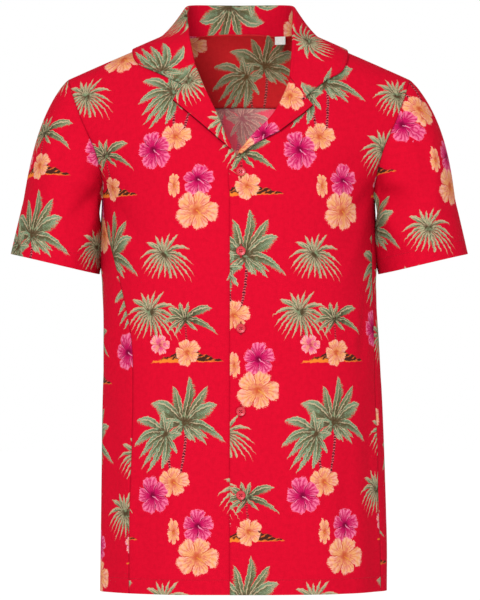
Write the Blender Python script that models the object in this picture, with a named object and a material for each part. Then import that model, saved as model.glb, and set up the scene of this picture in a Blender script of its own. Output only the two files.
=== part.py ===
"""A short-sleeved shirt with a camp collar, standing as if it were worn by nobody.

The frame is +Z up with the front facing -Y. The origin is the point midway between the two side
neck points, 11 mm below them, which is where a neck stand would hold the shirt. +X is the
wearer's left. Lengths in the tables are millimetres; meshes are made in metres.

The body is a loft over numbered rows. Row 0 is the shoulder line, rows 1 to 9 come down over the
chest (in front) or the shoulder blades (behind), row 10 passes through the armpits and row 18 is
the hem. Each row is half of a superellipse, whose angle runs from 0 at the centre front over 90
at the side to 180 at the centre back.
"""

import math
from collections import namedtuple

import bmesh
import bpy
import numpy as np
from mathutils import Vector

MM = 0.001

# Cloth, in millimetres.
CLOTH = 1.2  # one layer, with its turnings averaged in
DOUBLE_CLOTH = 1.5  # lapel: front and facing
COLLAR_CLOTH = 1.7  # collar: upper, under and interlining
SEAM_GAP = 0.3  # between the pieces on either side of a seam
FACING_GAP = 0.4  # between the outer yoke and the yoke facing
UNDERLAP_DROP = 2.6  # how far the under front lies inside the upper one
UNDERLAP_FADE = 60.0  # width over which the under front comes back out
UNDERLAP_TOP, UNDERLAP_GROWTH = -90.0, 45.0  # it starts at this height, over this length

# Body.
SQUARENESS = 2.3  # superellipse exponent of a row: 2 is an ellipse
SHOULDER_Y = 5.0  # the shoulder line lies this far behind the origin
SLOPE_SOFTNESS = 60.0  # rounds a row's fall to the shoulder at the centre
ARMPIT_ROW, HEM_ROW, YOKE_ROW = 10, 18, 6
HALF_COLUMNS = 11  # segments across a front, and along each shoulder seam
NECK_COLUMNS = 12  # segments along the back neck
ROW_SAMPLES = 241  # points that measure a row's length
YOKE_NECK_SHARE = 0.42  # share of half the yoke seam that lies below the neck

ChestRow = namedtuple(
    "ChestRow",
    "centre_height side_height depth half_width armhole_x inner_right inner_left",
)
CHEST = [
    ChestRow(28.4, -54.0, 0.0, 262.0, 231.0, 78.0, 78.0),
    ChestRow(26.5, -56.0, 18.5, 272.0, 229.5, 77.0, 77.5),
    ChestRow(21.0, -62.0, 35.0, 268.0, 227.0, 75.0, 76.5),
    ChestRow(9.0, -75.0, 50.5, 267.0, 223.0, 70.5, 75.0),
    ChestRow(-14.0, -92.0, 64.0, 263.0, 217.0, 64.0, 73.0),
    ChestRow(-42.0, -110.0, 78.5, 252.6, 210.0, 54.7, 69.1),
    ChestRow(-72.0, -128.0, 92.0, 236.9, 202.0, 43.4, 59.4),
    ChestRow(-106.0, -147.0, 104.5, 219.0, 194.0, 28.6, 42.4),
    ChestRow(-140.0, -168.0, 115.0, 202.4, 187.5, 14.3, 12.8),
    ChestRow(-175.0, -190.0, 122.5, 189.4, 183.5, -8.0, -12.0),
]

BladeRow = namedtuple("BladeRow", "centre_height side_height depth half_width armhole_x")
BLADES = [
    BladeRow(28.4, -54.0, 0.0, 262.0, 231.0),
    BladeRow(26.0, -55.5, 19.5, 251.6, 229.5),
    BladeRow(20.5, -58.0, 39.0, 250.0, 228.0),
    BladeRow(12.0, -63.0, 57.5, 246.7, 226.0),
    BladeRow(-12.0, -73.0, 81.0, 240.4, 224.0),
    BladeRow(-48.0, -85.0, 100.5, 236.3, 221.5),
    BladeRow(-87.0, -96.0, 112.0, 234.6, 219.0),
    BladeRow(-120.0, -125.0, 118.5, 231.2, 211.0),
    BladeRow(-155.0, -157.0, 123.0, 222.2, 202.5),
    BladeRow(-188.0, -189.0, 126.5, 202.5, 192.0),
]

TrunkRow = namedtuple(
    "TrunkRow",
    "height right_width left_width front_depth back_depth right_seam left_seam",
)
TRUNK = [
    TrunkRow(-214.0, 183.0, 181.5, 128.0, 128.0, 181.4, 179.2),
    TrunkRow(-260.0, 181.5, 179.5, 131.0, 131.0, 176.0, 176.5),
    TrunkRow(-330.0, 184.5, 182.0, 132.5, 133.0, 158.0, 178.0),
    TrunkRow(-400.0, 185.0, 185.0, 132.0, 133.0, 143.5, 180.0),
    TrunkRow(-470.0, 185.5, 188.5, 131.0, 131.0, 141.0, 181.5),
    TrunkRow(-540.0, 186.0, 192.0, 130.0, 129.0, 142.5, 184.0),
    TrunkRow(-610.0, 186.5, 194.5, 129.5, 128.0, 144.0, 186.5),
    TrunkRow(-680.0, 187.0, 196.5, 129.5, 128.0, 145.0, 189.0),
    TrunkRow(-739.0, 187.5, 196.5, 129.5, 128.0, 146.0, 189.5),
]
UNDER_EDGE = -16.0  # the right front runs this far past the centre
UPPER_EDGE = -12.0  # the left front runs this far past the centre

# Soft folds of the body, hanging down from `top` to `bottom`. Angles run as in a row.
Fold = namedtuple("Fold", "side angle_top angle_bottom top bottom depth width")
FOLDS = [
    Fold("right", 70, 74, -330, -800, 3.5, 7),
    Fold("right", 86, 92, -250, -800, -4.0, 8),
    Fold("right", 28, 24, -470, -800, 2.4, 8),
    Fold("right", 118, 112, -260, -800, 5.0, 10),
    Fold("right", 141, 136, -170, -800, -5.0, 9),
    Fold("right", 162, 160, -230, -800, 4.5, 9),
    Fold("left", 84, 80, -300, -800, 3.5, 7),
    Fold("left", 62, 66, -420, -800, -2.8, 8),
    Fold("left", 30, 34, -520, -800, 2.2, 9),
    Fold("left", 104, 108, -240, -800, -4.5, 9),
    Fold("left", 128, 132, -200, -800, 5.0, 10),
    Fold("left", 156, 151, -190, -800, -4.5, 9),
]
FOLD_FADE = 120.0  # length over which a fold starts

# Neck seam behind: stations from the centre back to the side neck point.
NeckPoint = namedtuple("NeckPoint", "row x")
BACK_NECK = [
    NeckPoint(3.0, 0.0),
    NeckPoint(2.75, 36.0),
    NeckPoint(2.1, 60.0),
    NeckPoint(1.1, 74.0),
    NeckPoint(0.0, 78.0),
]

# Collar, per side: where its seam, its roll and its free edge run. Heights are z.
Station = namedtuple("Station", "neck roll_x roll_y roll_z edge_x edge_y edge_z")
CENTRE_BACK = Station(0.0, 0.0, 66.0, 50.5, 0.0, 92.0, -14.0)
COLLAR_RIGHT = [
    CENTRE_BACK,
    Station(1.0, 37.0, 61.0, 50.5, 66.0, 84.0, -16.0),
    Station(2.0, 59.0, 45.0, 49.5, 112.0, 62.0, -19.0),
    Station(3.0, 67.5, 23.0, 46.5, 134.0, 33.0, -16.0),
    Station(4.0, 69.5, 0.0, 38.5, 142.0, 4.0, -12.0),
    Station(5.0, 68.5, -20.0, 24.0, 143.0, -22.0, -19.0),
    Station(6.0, 65.5, -37.0, 5.0, 135.0, -42.0, -35.0),
    Station(7.0, 61.5, -52.0, -17.0, 107.0, -62.0, -48.0),
    Station(8.0, 57.5, -65.0, -37.5, 75.5, -84.0, -62.0),
]
COLLAR_LEFT = [
    CENTRE_BACK,
    Station(1.0, 38.0, 61.0, 50.5, 66.0, 84.0, -16.0),
    Station(2.0, 61.0, 45.0, 49.5, 112.0, 62.0, -19.0),
    Station(3.0, 70.5, 23.0, 46.5, 134.0, 33.0, -16.0),
    Station(4.0, 72.0, 0.0, 38.0, 143.0, 4.0, -14.0),
    Station(5.0, 71.0, -21.0, 22.0, 145.0, -22.0, -24.0),
    Station(6.0, 69.5, -40.0, -1.0, 137.0, -45.0, -46.0),
    Station(7.0, 68.0, -57.0, -29.0, 115.0, -66.0, -58.0),
    Station(8.0, 66.0, -73.0, -55.0, 87.5, -88.0, -80.0),
]
COLLAR_SEGMENTS = 2  # per station
SAG = 0.13  # of the fall's length, by which it hangs in below a straight line
ROLL_RADIUS = 2.6  # of the collar and the lapels where they turn over
ROLL_BENDS = (-10.0, 40.0, 90.0, 140.0)  # sections round the collar's roll, in degrees
FALL_SHARES = (0.2, 0.42, 0.64, 0.84, 1.0)  # sections down the collar's fall
FALL_LIFT = 1.4  # how much higher than REST the fall lies next to the roll
LIE_DOWN = (4.5, 8.0)  # stations between which the roll comes to lie on the front
NECK_GAP = 0.4  # between the panels' neck edges and what turns out from them
REST = 3.6  # visible face of a collar or lapel above the cloth under it, at its edge
GORGE_GAP = 0.5  # from the gorge line to the lapel, and to the collar
GORGE_ROW = {"right": 4.5, "left": 5.1}

# Lapels, in front view: x outward from the centre, and z.
BREAK_ROW = {"right": 8.2, "left": 8.45}  # where the lapel starts to turn out
LAPEL_EDGE = {
    "right": [(10.0, -152.5), (42.0, -124.5), (88.0, -85.5)],
    "left": [(4.0, -157.5), (16.0, -147.5), (55.0, -126.5), (85.5, -103.5), (98.5, -92.0)],
}
LAPEL_ROWS, LAPEL_COLUMNS = 12, 6
LAPEL_BENDS = (-30.0, 15.0, 60.0)  # sections round the lapel's roll, in degrees

# Sleeves: right-hand values, with x outward.
SLEEVE_RINGS = 9
SLEEVE_HEM_CENTRE = (248.0, 3.0, -301.5)
SLEEVE_HEM_OUTWARD = (0.973, 0.0, 0.230)  # from the inner hem point to the outer one
SLEEVE_HEM_WIDTH, SLEEVE_HEM_DEPTH = 118.5, 128.0
SleeveRib = namedtuple("SleeveRib", "turn leave_x leave_y leave_z leave arrive_x arrive")
# How the sleeve leaves the armhole: direction and reach, then its slope at the hem.
SLEEVE_RIBS = [
    SleeveRib(0, 0.62, 0.00, -0.78, 46, 0.26, 90),
    SleeveRib(45, 0.66, -0.30, -0.69, 48, 0.24, 80),
    SleeveRib(90, 0.60, -0.26, -0.76, 46, 0.19, 66),
    SleeveRib(135, 0.56, -0.10, -0.82, 34, 0.11, 44),
    SleeveRib(180, 0.62, 0.00, -0.78, 20, 0.00, 36),
    SleeveRib(225, 0.56, 0.10, -0.82, 34, 0.11, 44),
    SleeveRib(270, 0.60, 0.26, -0.76, 46, 0.19, 66),
    SleeveRib(315, 0.66, 0.30, -0.69, 48, 0.24, 80),
    SleeveRib(360, 0.62, 0.00, -0.78, 46, 0.26, 90),
]
# Drag folds of a sleeve: they run from (turn, share) to (turn, share) of its length.
SleeveFold = namedtuple("SleeveFold", "side turn_top share_top turn_foot share_foot depth width")
SLEEVE_FOLDS = [
    SleeveFold("left", 96, 0.25, 124, 0.75, 3.0, 15),
    SleeveFold("left", 254, 0.25, 218, 0.80, 3.2, 16),
    SleeveFold("right", 92, 0.20, 118, 0.80, 2.8, 15),
    SleeveFold("right", 250, 0.25, 215, 0.80, 3.4, 16),
]
SLEEVE_FOLD_START, SLEEVE_FOLD_END = 0.2, 0.25  # shares over which a fold grows and fades

# Buttons.
BUTTON_HEIGHTS = [-180.5, -285.0, -387.0, -496.5, -607.0]
BUTTON_X = 2.4
ButtonRing = namedtuple("ButtonRing", "radius height")
# Half of a button's section, from the rim of its back over the rim to the dished face.
BUTTON_PROFILE = [
    ButtonRing(5.7, 0.0),
    ButtonRing(6.3, 0.9),
    ButtonRing(5.8, 2.4),
    ButtonRing(5.0, 2.4),
    ButtonRing(4.5, 1.7),
]
BUTTON_HOLE_RADIUS, BUTTON_HOLE_PITCH = 0.75, 2.6
BUTTON_HOLE_SIDES = 6
DRILL_LENGTH = 10.0
BUTTON_SEAT = 0.5  # gap between a button and the front
BUTTON_SIDES = 16

# Size tab, sewn into the back neck seam.
TAB_X, TAB_WIDTH, TAB_HEIGHT, TAB_THICKNESS = 58.0, 14.0, 11.0, 1.0
TAB_CLEARANCE = 1.4  # from the yoke facing, and from the neck seam down

SIDES = {"right": -1.0, "left": 1.0}


def smooth(stations, values, at):
    """Reads a table's column at `at`, along a curve that passes smoothly through its rows."""
    stations = np.asarray(stations, dtype=float)
    values = np.asarray(values, dtype=float)
    at = np.asarray(at, dtype=float)
    slopes = np.gradient(values, stations)
    cell = np.clip(np.searchsorted(stations, at, side="right") - 1, 0, len(stations) - 2)
    step = stations[cell + 1] - stations[cell]
    f = (at - stations[cell]) / step
    start = (1 + 2 * f) * (1 - f) ** 2 * values[cell]
    end = f * f * (3 - 2 * f) * values[cell + 1]
    start_slope = f * (1 - f) ** 2 * step * slopes[cell]
    end_slope = f * f * (f - 1) * step * slopes[cell + 1]
    return start + end + start_slope + end_slope


def ease(value):
    """Rises smoothly from 0 to 1 as `value` does."""
    value = np.clip(value, 0.0, 1.0)
    return value * value * (3.0 - 2.0 * value)


def unit(vectors):
    """Scales vectors, held in the last axis, to length 1."""
    length = np.linalg.norm(vectors, axis=-1, keepdims=True)
    return vectors / np.maximum(length, 1e-9)


# ---------------------------------------------------------------- the body's surface


def profile_column(chest_name, trunk_names):
    """One column read over the shoulder: from the back hem (row -18) to the front hem (18)."""
    front_trunk, back_trunk = trunk_names
    back = [getattr(row, back_trunk) for row in reversed(TRUNK)]
    back += [getattr(row, chest_name) for row in reversed(BLADES[1:])]
    front = [getattr(row, chest_name) for row in CHEST]
    front += [getattr(row, front_trunk) for row in TRUNK]
    return back + front


def profile(side):
    """The columns that shape one side of the body, each with a value for every signed row."""
    width = side + "_width"
    seam = side + "_seam"
    depth = profile_column("depth", ("front_depth", "back_depth"))
    signs = [1.0] * HEM_ROW + [-1.0] * (HEM_ROW + 1)
    return {
        "centre": profile_column("centre_height", ("height", "height")),
        "side": profile_column("side_height", ("height", "height")),
        "depth": [sign * value for sign, value in zip(signs, depth)],
        "half": profile_column("half_width", (width, width)),
        "edge": profile_column("armhole_x", (seam, seam)),
    }


ROWS = np.arange(-HEM_ROW, HEM_ROW + 1)
PROFILES = {side: profile(side) for side in SIDES}


def read(side, column, row):
    """A column's value at a signed row: above 0 in front, below 0 behind."""
    return smooth(ROWS, PROFILES[side][column], row)


def fall(x):
    """How a row comes down towards the shoulder, level at the centre."""
    return np.sqrt(x * x + SLOPE_SOFTNESS**2) - SLOPE_SOFTNESS


def fold_depth(side, angle, height):
    """How far the folds push the cloth out at an angle and a height."""
    total = np.zeros_like(angle)
    for fold in FOLDS:
        if fold.side != side:
            continue
        share = np.clip((fold.top - height) / (fold.top - fold.bottom), 0.0, 1.0)
        middle = fold.angle_top + (fold.angle_bottom - fold.angle_top) * share
        shape = np.exp(-(((angle - middle) / fold.width) ** 2))
        total += fold.depth * shape * ease((fold.top - height) / FOLD_FADE)
    return total


def body_point(side, row, angle):
    """Points of the outer face of the body, from a row (0 to 18) and an angle (0 to 180)."""
    row, angle = np.broadcast_arrays(np.asarray(row, float), np.asarray(angle, float))
    signed = np.where(angle < 90.0, row, -row)
    turn = np.radians(angle)
    power = 2.0 / SQUARENESS
    across = np.sign(np.sin(turn)) * np.abs(np.sin(turn)) ** power
    along = np.abs(np.cos(turn)) ** power
    x = read(side, "half", signed) * across
    y = SHOULDER_Y * (1.0 - np.clip(row / ARMPIT_ROW, 0, 1)) + read(side, "depth", signed) * along
    centre = read(side, "centre", signed)
    drop = read(side, "side", signed) - centre
    z = centre + drop * fall(x) / fall(read(side, "edge", signed))
    push = fold_depth(side, angle, z)
    x = x + push * np.sin(turn)
    y = y - push * np.cos(turn)
    return np.stack([SIDES[side] * x, y, z], axis=-1)


def angle_at(side, signed_row, x):
    """The angle at which a row passes `x`, measured outward from the centre."""
    ratio = np.clip(x / read(side, "half", signed_row), -1.0, 1.0)
    turn = np.degrees(np.arcsin(np.sign(ratio) * np.abs(ratio) ** (SQUARENESS / 2.0)))
    return np.where(np.asarray(signed_row) >= 0, turn, 180.0 - turn)


def inner_x(side, row):
    """Where a front's inner edge runs: neck seam, roll line, then the closure's edge."""
    edge = UNDER_EDGE if side == "right" else UPPER_EDGE
    column = [getattr(line, "inner_" + side) for line in CHEST] + [edge] * len(TRUNK)
    values = smooth(np.arange(HEM_ROW + 1), column, row)
    return np.where(np.asarray(row) > ARMPIT_ROW, edge, values)


def even_row(side, row, start, end, shares):
    """Points along a row from one angle to another, at given shares of its length."""
    angles = np.linspace(start, end, ROW_SAMPLES)
    line = body_point(side, row, angles)
    steps = np.linalg.norm(np.diff(line, axis=0), axis=1)
    length = np.concatenate([[0.0], np.cumsum(steps)])
    at = np.interp(np.asarray(shares) * length[-1], length, angles)
    return body_point(side, row, at)


# ---------------------------------------------------------------- panels as grids of points


def front_grid(side):
    """A front's outer face: a row of points for each body row, from its inner edge outwards."""
    shares = np.linspace(0.0, 1.0, HALF_COLUMNS + 1)
    grid = []
    for row in range(HEM_ROW + 1):
        start = float(angle_at(side, row, inner_x(side, row)))
        end = float(angle_at(side, row, read(side, "edge", row)))
        grid.append(even_row(side, row, start, end, shares))
    return np.array(grid)


def yoke_grid(fronts):
    """The yoke: from the shoulder seams and the back neck down to the yoke seam."""
    half = HALF_COLUMNS + 1
    stations = np.linspace(0.0, 4.0, NECK_COLUMNS // 2 + 1)
    neck_row = smooth(range(5), [p.row for p in BACK_NECK], stations)
    neck_x = smooth(range(5), [p.x for p in BACK_NECK], stations)
    halves = {}
    for side in SIDES:
        seam_x = np.abs(fronts[side][0][:, 0])
        top_row = np.concatenate([neck_row, np.zeros(half - 1)])
        top_x = np.concatenate([neck_x, seam_x[1:]])
        edge_top = read(side, "edge", -top_row)
        top_share = top_x / edge_top
        below_neck = np.linspace(0.0, YOKE_NECK_SHARE, len(neck_x))
        below_shoulder = np.linspace(YOKE_NECK_SHARE, 1.0, half)
        foot_share = np.concatenate([below_neck, below_shoulder[1:]])
        lines = []
        for level in range(YOKE_ROW + 1):
            down = level / YOKE_ROW
            row = top_row + (YOKE_ROW - top_row) * down
            share = top_share + (foot_share - top_share) * down
            x = share * read(side, "edge", -row)
            lines.append(body_point(side, row, angle_at(side, -np.maximum(row, 1e-6), x)))
        lines = np.array(lines)
        lines[0, len(neck_x) - 1 :] = fronts[side][0]
        halves[side] = lines
    return np.concatenate([halves["right"][:, ::-1], halves["left"][:, 1:]], axis=1)


def back_grid(yoke, fronts):
    """The back: its first row is the yoke seam, and its edges below the armpit the side seams."""
    seam = yoke[-1]
    middle = seam.shape[0] // 2
    grid = [seam]
    for row in range(YOKE_ROW + 1, HEM_ROW + 1):
        halves = {}
        for side in SIDES:
            part = seam[: middle + 1][::-1] if side == "right" else seam[middle:]
            steps = np.linalg.norm(np.diff(part, axis=0), axis=1)
            shares = np.concatenate([[0.0], np.cumsum(steps)])
            shares = shares / shares[-1]
            edge = read(side, "edge", row)
            if row >= ARMPIT_ROW:
                end = float(angle_at(side, row, edge))
            else:
                end = float(angle_at(side, -row, read(side, "edge", -row)))
            halves[side] = even_row(side, row, 180.0, end, shares)
            if row >= ARMPIT_ROW:
                halves[side][-1] = fronts[side][row, -1]
        grid.append(np.concatenate([halves["right"][::-1], halves["left"][1:]]))
    return np.array(grid)


def armhole(side, front, yoke, back):
    """The armhole's loop of points: shoulder, front, armpit, back, and up to the shoulder."""
    column = 0 if side == "right" else -1
    down = front[: ARMPIT_ROW + 1, -1]
    rise = back[1 : ARMPIT_ROW - YOKE_ROW, column][::-1]
    top = yoke[1:, column][::-1]
    return np.concatenate([down, rise, top])


def sleeve_fold_depth(side, turn, share):
    """How far the sleeve's folds push it out."""
    total = np.zeros_like(turn)
    for fold in SLEEVE_FOLDS:
        if fold.side != side:
            continue
        reach = np.clip((share - fold.share_top) / (fold.share_foot - fold.share_top), 0, 1)
        middle = fold.turn_top + (fold.turn_foot - fold.turn_top) * reach
        shape = np.exp(-(((turn - middle) / fold.width) ** 2))
        grown = ease((share - fold.share_top) / SLEEVE_FOLD_START)
        left = ease((fold.share_foot - share) / SLEEVE_FOLD_END + 1.0)
        total += fold.depth * shape * grown * left
    return total


def sleeve_grid(side, loop):
    """The sleeve: rings from the armhole to the hem, each rib a cubic curve."""
    sign = SIDES[side]
    mirror = np.array([sign, 1.0, 1.0])
    start = loop * mirror
    steps = np.linalg.norm(np.roll(start, -1, axis=0) - start, axis=1)
    length = np.concatenate([[0.0], np.cumsum(steps)])
    foot = ARMPIT_ROW
    down = 180.0 * length[: foot + 1] / length[foot]
    up = 180.0 + 180.0 * (length[foot + 1 : -1] - length[foot]) / (length[-1] - length[foot])
    turn = np.concatenate([down, up])

    def rib(name):
        return smooth([r.turn for r in SLEEVE_RIBS], [getattr(r, name) for r in SLEEVE_RIBS], turn)

    outward = np.array(SLEEVE_HEM_OUTWARD)
    angle = np.radians(turn)
    hem = np.array(SLEEVE_HEM_CENTRE)
    hem = hem + (SLEEVE_HEM_WIDTH / 2 * np.cos(angle))[:, None] * outward
    hem = hem + (SLEEVE_HEM_DEPTH / 2 * np.sin(angle))[:, None] * np.array([0.0, -1.0, 0.0])
    leave = unit(np.stack([rib("leave_x"), rib("leave_y"), rib("leave_z")], axis=-1))
    arrive = unit(np.stack([rib("arrive_x"), 0 * turn, -np.ones_like(turn)], axis=-1))
    first = start + leave * rib("leave")[:, None]
    second = hem - arrive * rib("arrive")[:, None]
    grid = []
    for ring in range(SLEEVE_RINGS + 1):
        f = ring / SLEEVE_RINGS
        line = (1 - f) ** 3 * start + 3 * f * (1 - f) ** 2 * first
        line = line + 3 * f * f * (1 - f) * second + f**3 * hem
        out = line - line.mean(axis=0)
        out[:, 2] = 0.0
        line = line + unit(out) * sleeve_fold_depth(side, turn, np.full_like(turn, f))[:, None]
        grid.append(line * mirror)
    grid[0] = loop
    return np.array(grid)


# ---------------------------------------------------------------- cloth lying on the body


def body_samples():
    """Points all over the outer face of the body, with their outward normals."""
    points, normals = [], []
    for side, sign in SIDES.items():
        rows = np.linspace(0.05, HEM_ROW, 225)
        for span in ((0.0, 89.0), (91.0, 180.0)):
            angles = np.linspace(span[0], span[1], 140)
            mesh_rows, mesh_angles = np.meshgrid(rows, angles, indexing="ij")
            grid = body_point(side, mesh_rows, mesh_angles)
            down = np.gradient(grid, axis=0)
            round_ = np.gradient(grid, axis=1)
            normal = unit(np.cross(down, round_) * sign)
            points.append(grid.reshape(-1, 3))
            normals.append(normal.reshape(-1, 3))
    return np.concatenate(points), np.concatenate(normals)


BODY_POINTS, BODY_NORMALS = body_samples()


def above_body(points):
    """Height of points above the body's outer face, and the face's normals there."""
    flat = points.reshape(-1, 3)
    heights, normals = [], []
    for point in flat:
        nearest = np.argmin(((BODY_POINTS - point) ** 2).sum(axis=1))
        normal = BODY_NORMALS[nearest]
        heights.append(float(np.dot(point - BODY_POINTS[nearest], normal)))
        normals.append(normal)
    return np.array(heights).reshape(points.shape[:-1]), np.array(normals).reshape(points.shape)


def lift_clear(points, clearance):
    """Moves points out until they are at least `clearance` above the body."""
    clearance = np.broadcast_to(clearance, points.shape[:-1])
    for _ in range(2):
        height, normal = above_body(points)
        points = points + normal * np.maximum(clearance - height, 0.0)[..., None]
    return points


def on_front(x, z):
    """The point of the body's front at a place in front view."""
    front = BODY_NORMALS[:, 1] < -0.15
    samples, normals = BODY_POINTS[front], BODY_NORMALS[front]
    result = []
    for px, pz in zip(x, z):
        nearest = np.argmin((samples[:, 0] - px) ** 2 + (samples[:, 2] - pz) ** 2)
        q, n = samples[nearest], normals[nearest]
        y = q[1] - ((px - q[0]) * n[0] + (pz - q[2]) * n[2]) / n[1]
        result.append((px, y, pz, *n))
    result = np.array(result)
    return result[:, :3], result[:, 3:]


def neck_line(side):
    """The panels' inner edge as they have it: stations, points and outward normals.

    Stations run from 0 at the centre back over 4 at the side neck point to 8 at the gorge, and on
    down the roll line at the same pace.
    """
    places = []
    for at in np.linspace(0.0, 4.0, NECK_COLUMNS // 2 + 1):
        row = float(smooth(range(5), [p.row for p in BACK_NECK], at))
        x = float(smooth(range(5), [p.x for p in BACK_NECK], at))
        places.append((at, -max(row, 1e-6), x))
    for row in range(1, ARMPIT_ROW + 1):
        places.append((4.0 + 4.0 * row / GORGE_ROW[side], row, float(inner_x(side, row))))
    stations = np.array([place[0] for place in places])
    points = [body_point(side, abs(row), angle_at(side, row, x)) for _, row, x in places]
    points = np.array(points)
    _, normals = above_body(points)
    return stations, points, normals


def read_line(stations, values, at):
    """Reads a line of points straight between its vertices, as a panel's edge runs."""
    return np.array([np.interp(at, stations, values[:, axis]) for axis in range(3)])


def lapel_grid(side):
    """A lapel: sections from the roll line to its outer edge, from the break to the gorge."""
    sign = SIDES[side]
    edge = np.array(LAPEL_EDGE[side])
    steps = np.linalg.norm(np.diff(edge, axis=0), axis=1)
    along = np.concatenate([[0.0], np.cumsum(steps)]) / steps.sum()
    stations, points, _ = neck_line(side)
    shares = np.linspace(0.0, 1.0, LAPEL_COLUMNS + 1)
    grid = []
    for line in range(LAPEL_ROWS + 1):
        f = line / LAPEL_ROWS
        row = BREAK_ROW[side] + (GORGE_ROW[side] - BREAK_ROW[side]) * f
        base = read_line(stations, points, 4.0 + 4.0 * row / GORGE_ROW[side])
        edge_x = sign * np.interp(f, along, edge[:, 0])
        edge_z = np.interp(f, along, edge[:, 1])
        line_x = base[0] + (edge_x - base[0]) * shares
        line_z = base[2] + (edge_z - base[2]) * shares
        laid, normal = on_front(line_x, line_z)
        width = np.linalg.norm(laid[-1] - base)
        toward = unit(laid[-1] - base)
        radius = ROLL_RADIUS * np.clip(width / (4 * ROLL_RADIUS), 0.6, 1.0)
        section = [base - toward * NECK_GAP]
        for degrees in LAPEL_BENDS:
            bend = math.radians(degrees)
            reach = NECK_GAP + radius * math.cos(bend)
            rise = radius * (1.0 + math.sin(bend))
            section.append(base - toward * reach + normal[0] * rise)
        for k in range(1, LAPEL_COLUMNS + 1):
            rest = 2 * radius + (min(REST, 2 * radius) - 2 * radius) * shares[k]
            section.append(laid[k] + normal[k] * rest)
        grid.append(section)
    grid = np.array(grid)
    grid[-1] += unit(grid[-2] - grid[-1]) * GORGE_GAP
    return grid


def collar_section(side, at, base, normal, opening, table):
    """One section of the collar's visible face: stand, roll and fall, at a station."""
    sign = SIDES[side]
    stations = [line.neck for line in table]

    def column(name):
        return float(smooth(stations, [getattr(line, name) for line in table], at))

    roll = np.array([sign * column("roll_x"), column("roll_y"), column("roll_z")])
    edge = np.array([sign * column("edge_x"), column("edge_y"), column("edge_z")])
    roll = lift_clear(roll[None], 2 * ROLL_RADIUS)[0]
    low = float(ease((at - LIE_DOWN[0]) / (LIE_DOWN[1] - LIE_DOWN[0])))
    up = unit(np.array([0.0, 0.0, 1.0 - low]) + normal * low)
    outward = edge - roll
    outward = unit(outward - up * np.dot(outward, up))
    layers = CLOTH if at > 4.0 else 2 * CLOTH + FACING_GAP
    section = [base + opening * NECK_GAP - normal * layers]
    side_of_roll = roll - up * ROLL_RADIUS
    section.append(section[0] + (side_of_roll - section[0]) * 0.5)
    for degrees in ROLL_BENDS:
        bend = math.radians(degrees)
        across = outward * ROLL_RADIUS * (1.0 - math.cos(bend))
        section.append(side_of_roll + across + up * ROLL_RADIUS * math.sin(bend))
    start = section[-1]
    drape = np.array(FALL_SHARES)
    fallen = start + (edge - start) * drape[:, None]
    sag = np.sin(math.pi * drape) * np.linalg.norm(edge - start) * SAG * (1.0 - low)
    fallen = lift_clear(fallen - up * sag[:, None], REST + FALL_LIFT * (1.0 - drape))
    height, out = above_body(fallen)
    settle = low * drape * (REST - height)
    section.extend(fallen + out * settle[:, None])
    return section


def collar_half(side):
    """Half the collar's visible face, and its seam edge on the hidden face."""
    table = COLLAR_RIGHT if side == "right" else COLLAR_LEFT
    stations, points, normals = neck_line(side)
    sections, seam = [], []
    for at in np.linspace(0.0, 8.0, 8 * COLLAR_SEGMENTS + 1):
        base = read_line(stations, points, at)
        normal = unit(read_line(stations, normals, at))
        ahead = read_line(stations, points, at + 0.2)
        behind = read_line(stations, points, max(at - 0.2, 0.0))
        opening = unit(np.cross(ahead - behind, normal))
        if np.dot(opening, np.array([0.0, -20.0, 30.0]) - base) < 0:
            opening = -opening
        sections.append(collar_section(side, at, base, normal, opening, table))
        seam.append(base + opening * NECK_GAP)
    sections, seam = np.array(sections), np.array(seam)
    sections[-1] += unit(sections[-2] - sections[-1]) * GORGE_GAP
    seam[-1] += unit(seam[-2] - seam[-1]) * GORGE_GAP
    return sections, seam


def collar_grids():
    """The whole collar's two faces, from the right gorge round the back to the left one."""
    right, right_seam = collar_half("right")
    left, left_seam = collar_half("left")
    face = np.concatenate([right[::-1], left[1:]])
    hidden = face + grid_normals(face) * COLLAR_CLOTH
    hidden[:, 0] = np.concatenate([right_seam[::-1], left_seam[1:]])
    return face, hidden


# ---------------------------------------------------------------- walls


def grid_normals(grid, round_=False):
    """Normals of a grid of points. `round_` says that its last column meets its first."""
    down = np.gradient(grid, axis=0)
    if round_:
        across = (np.roll(grid, -1, axis=1) - np.roll(grid, 1, axis=1)) / 2.0
    else:
        across = np.gradient(grid, axis=1)
    return unit(np.cross(across, down))


def key(point):
    """A point's place, rounded so that both sides of a seam agree."""
    return tuple(np.round(point, 2))


def share_normals(grids, normals):
    """Gives points that two grids share one normal, so that their walls meet square."""
    sums = {}
    for name, grid in grids.items():
        for point, normal in zip(grid.reshape(-1, 3), normals[name].reshape(-1, 3)):
            sums[key(point)] = sums.get(key(point), 0.0) + normal
    for name, grid in grids.items():
        shared = [unit(sums[key(point)]) for point in grid.reshape(-1, 3)]
        normals[name] = np.array(shared).reshape(grid.shape)
    return normals


def pull_in(grid, sides, distance):
    """Moves the named edges of a grid inwards along the cloth."""
    grid = grid.copy()
    edges = {
        "top": ((0, slice(None)), (1, slice(None))),
        "bottom": ((-1, slice(None)), (-2, slice(None))),
        "first": ((slice(None), 0), (slice(None), 1)),
        "last": ((slice(None), -1), (slice(None), -2)),
    }
    for side in sides:
        edge, inner = edges[side]
        grid[edge] += unit(grid[inner] - grid[edge]) * distance
    return grid


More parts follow.
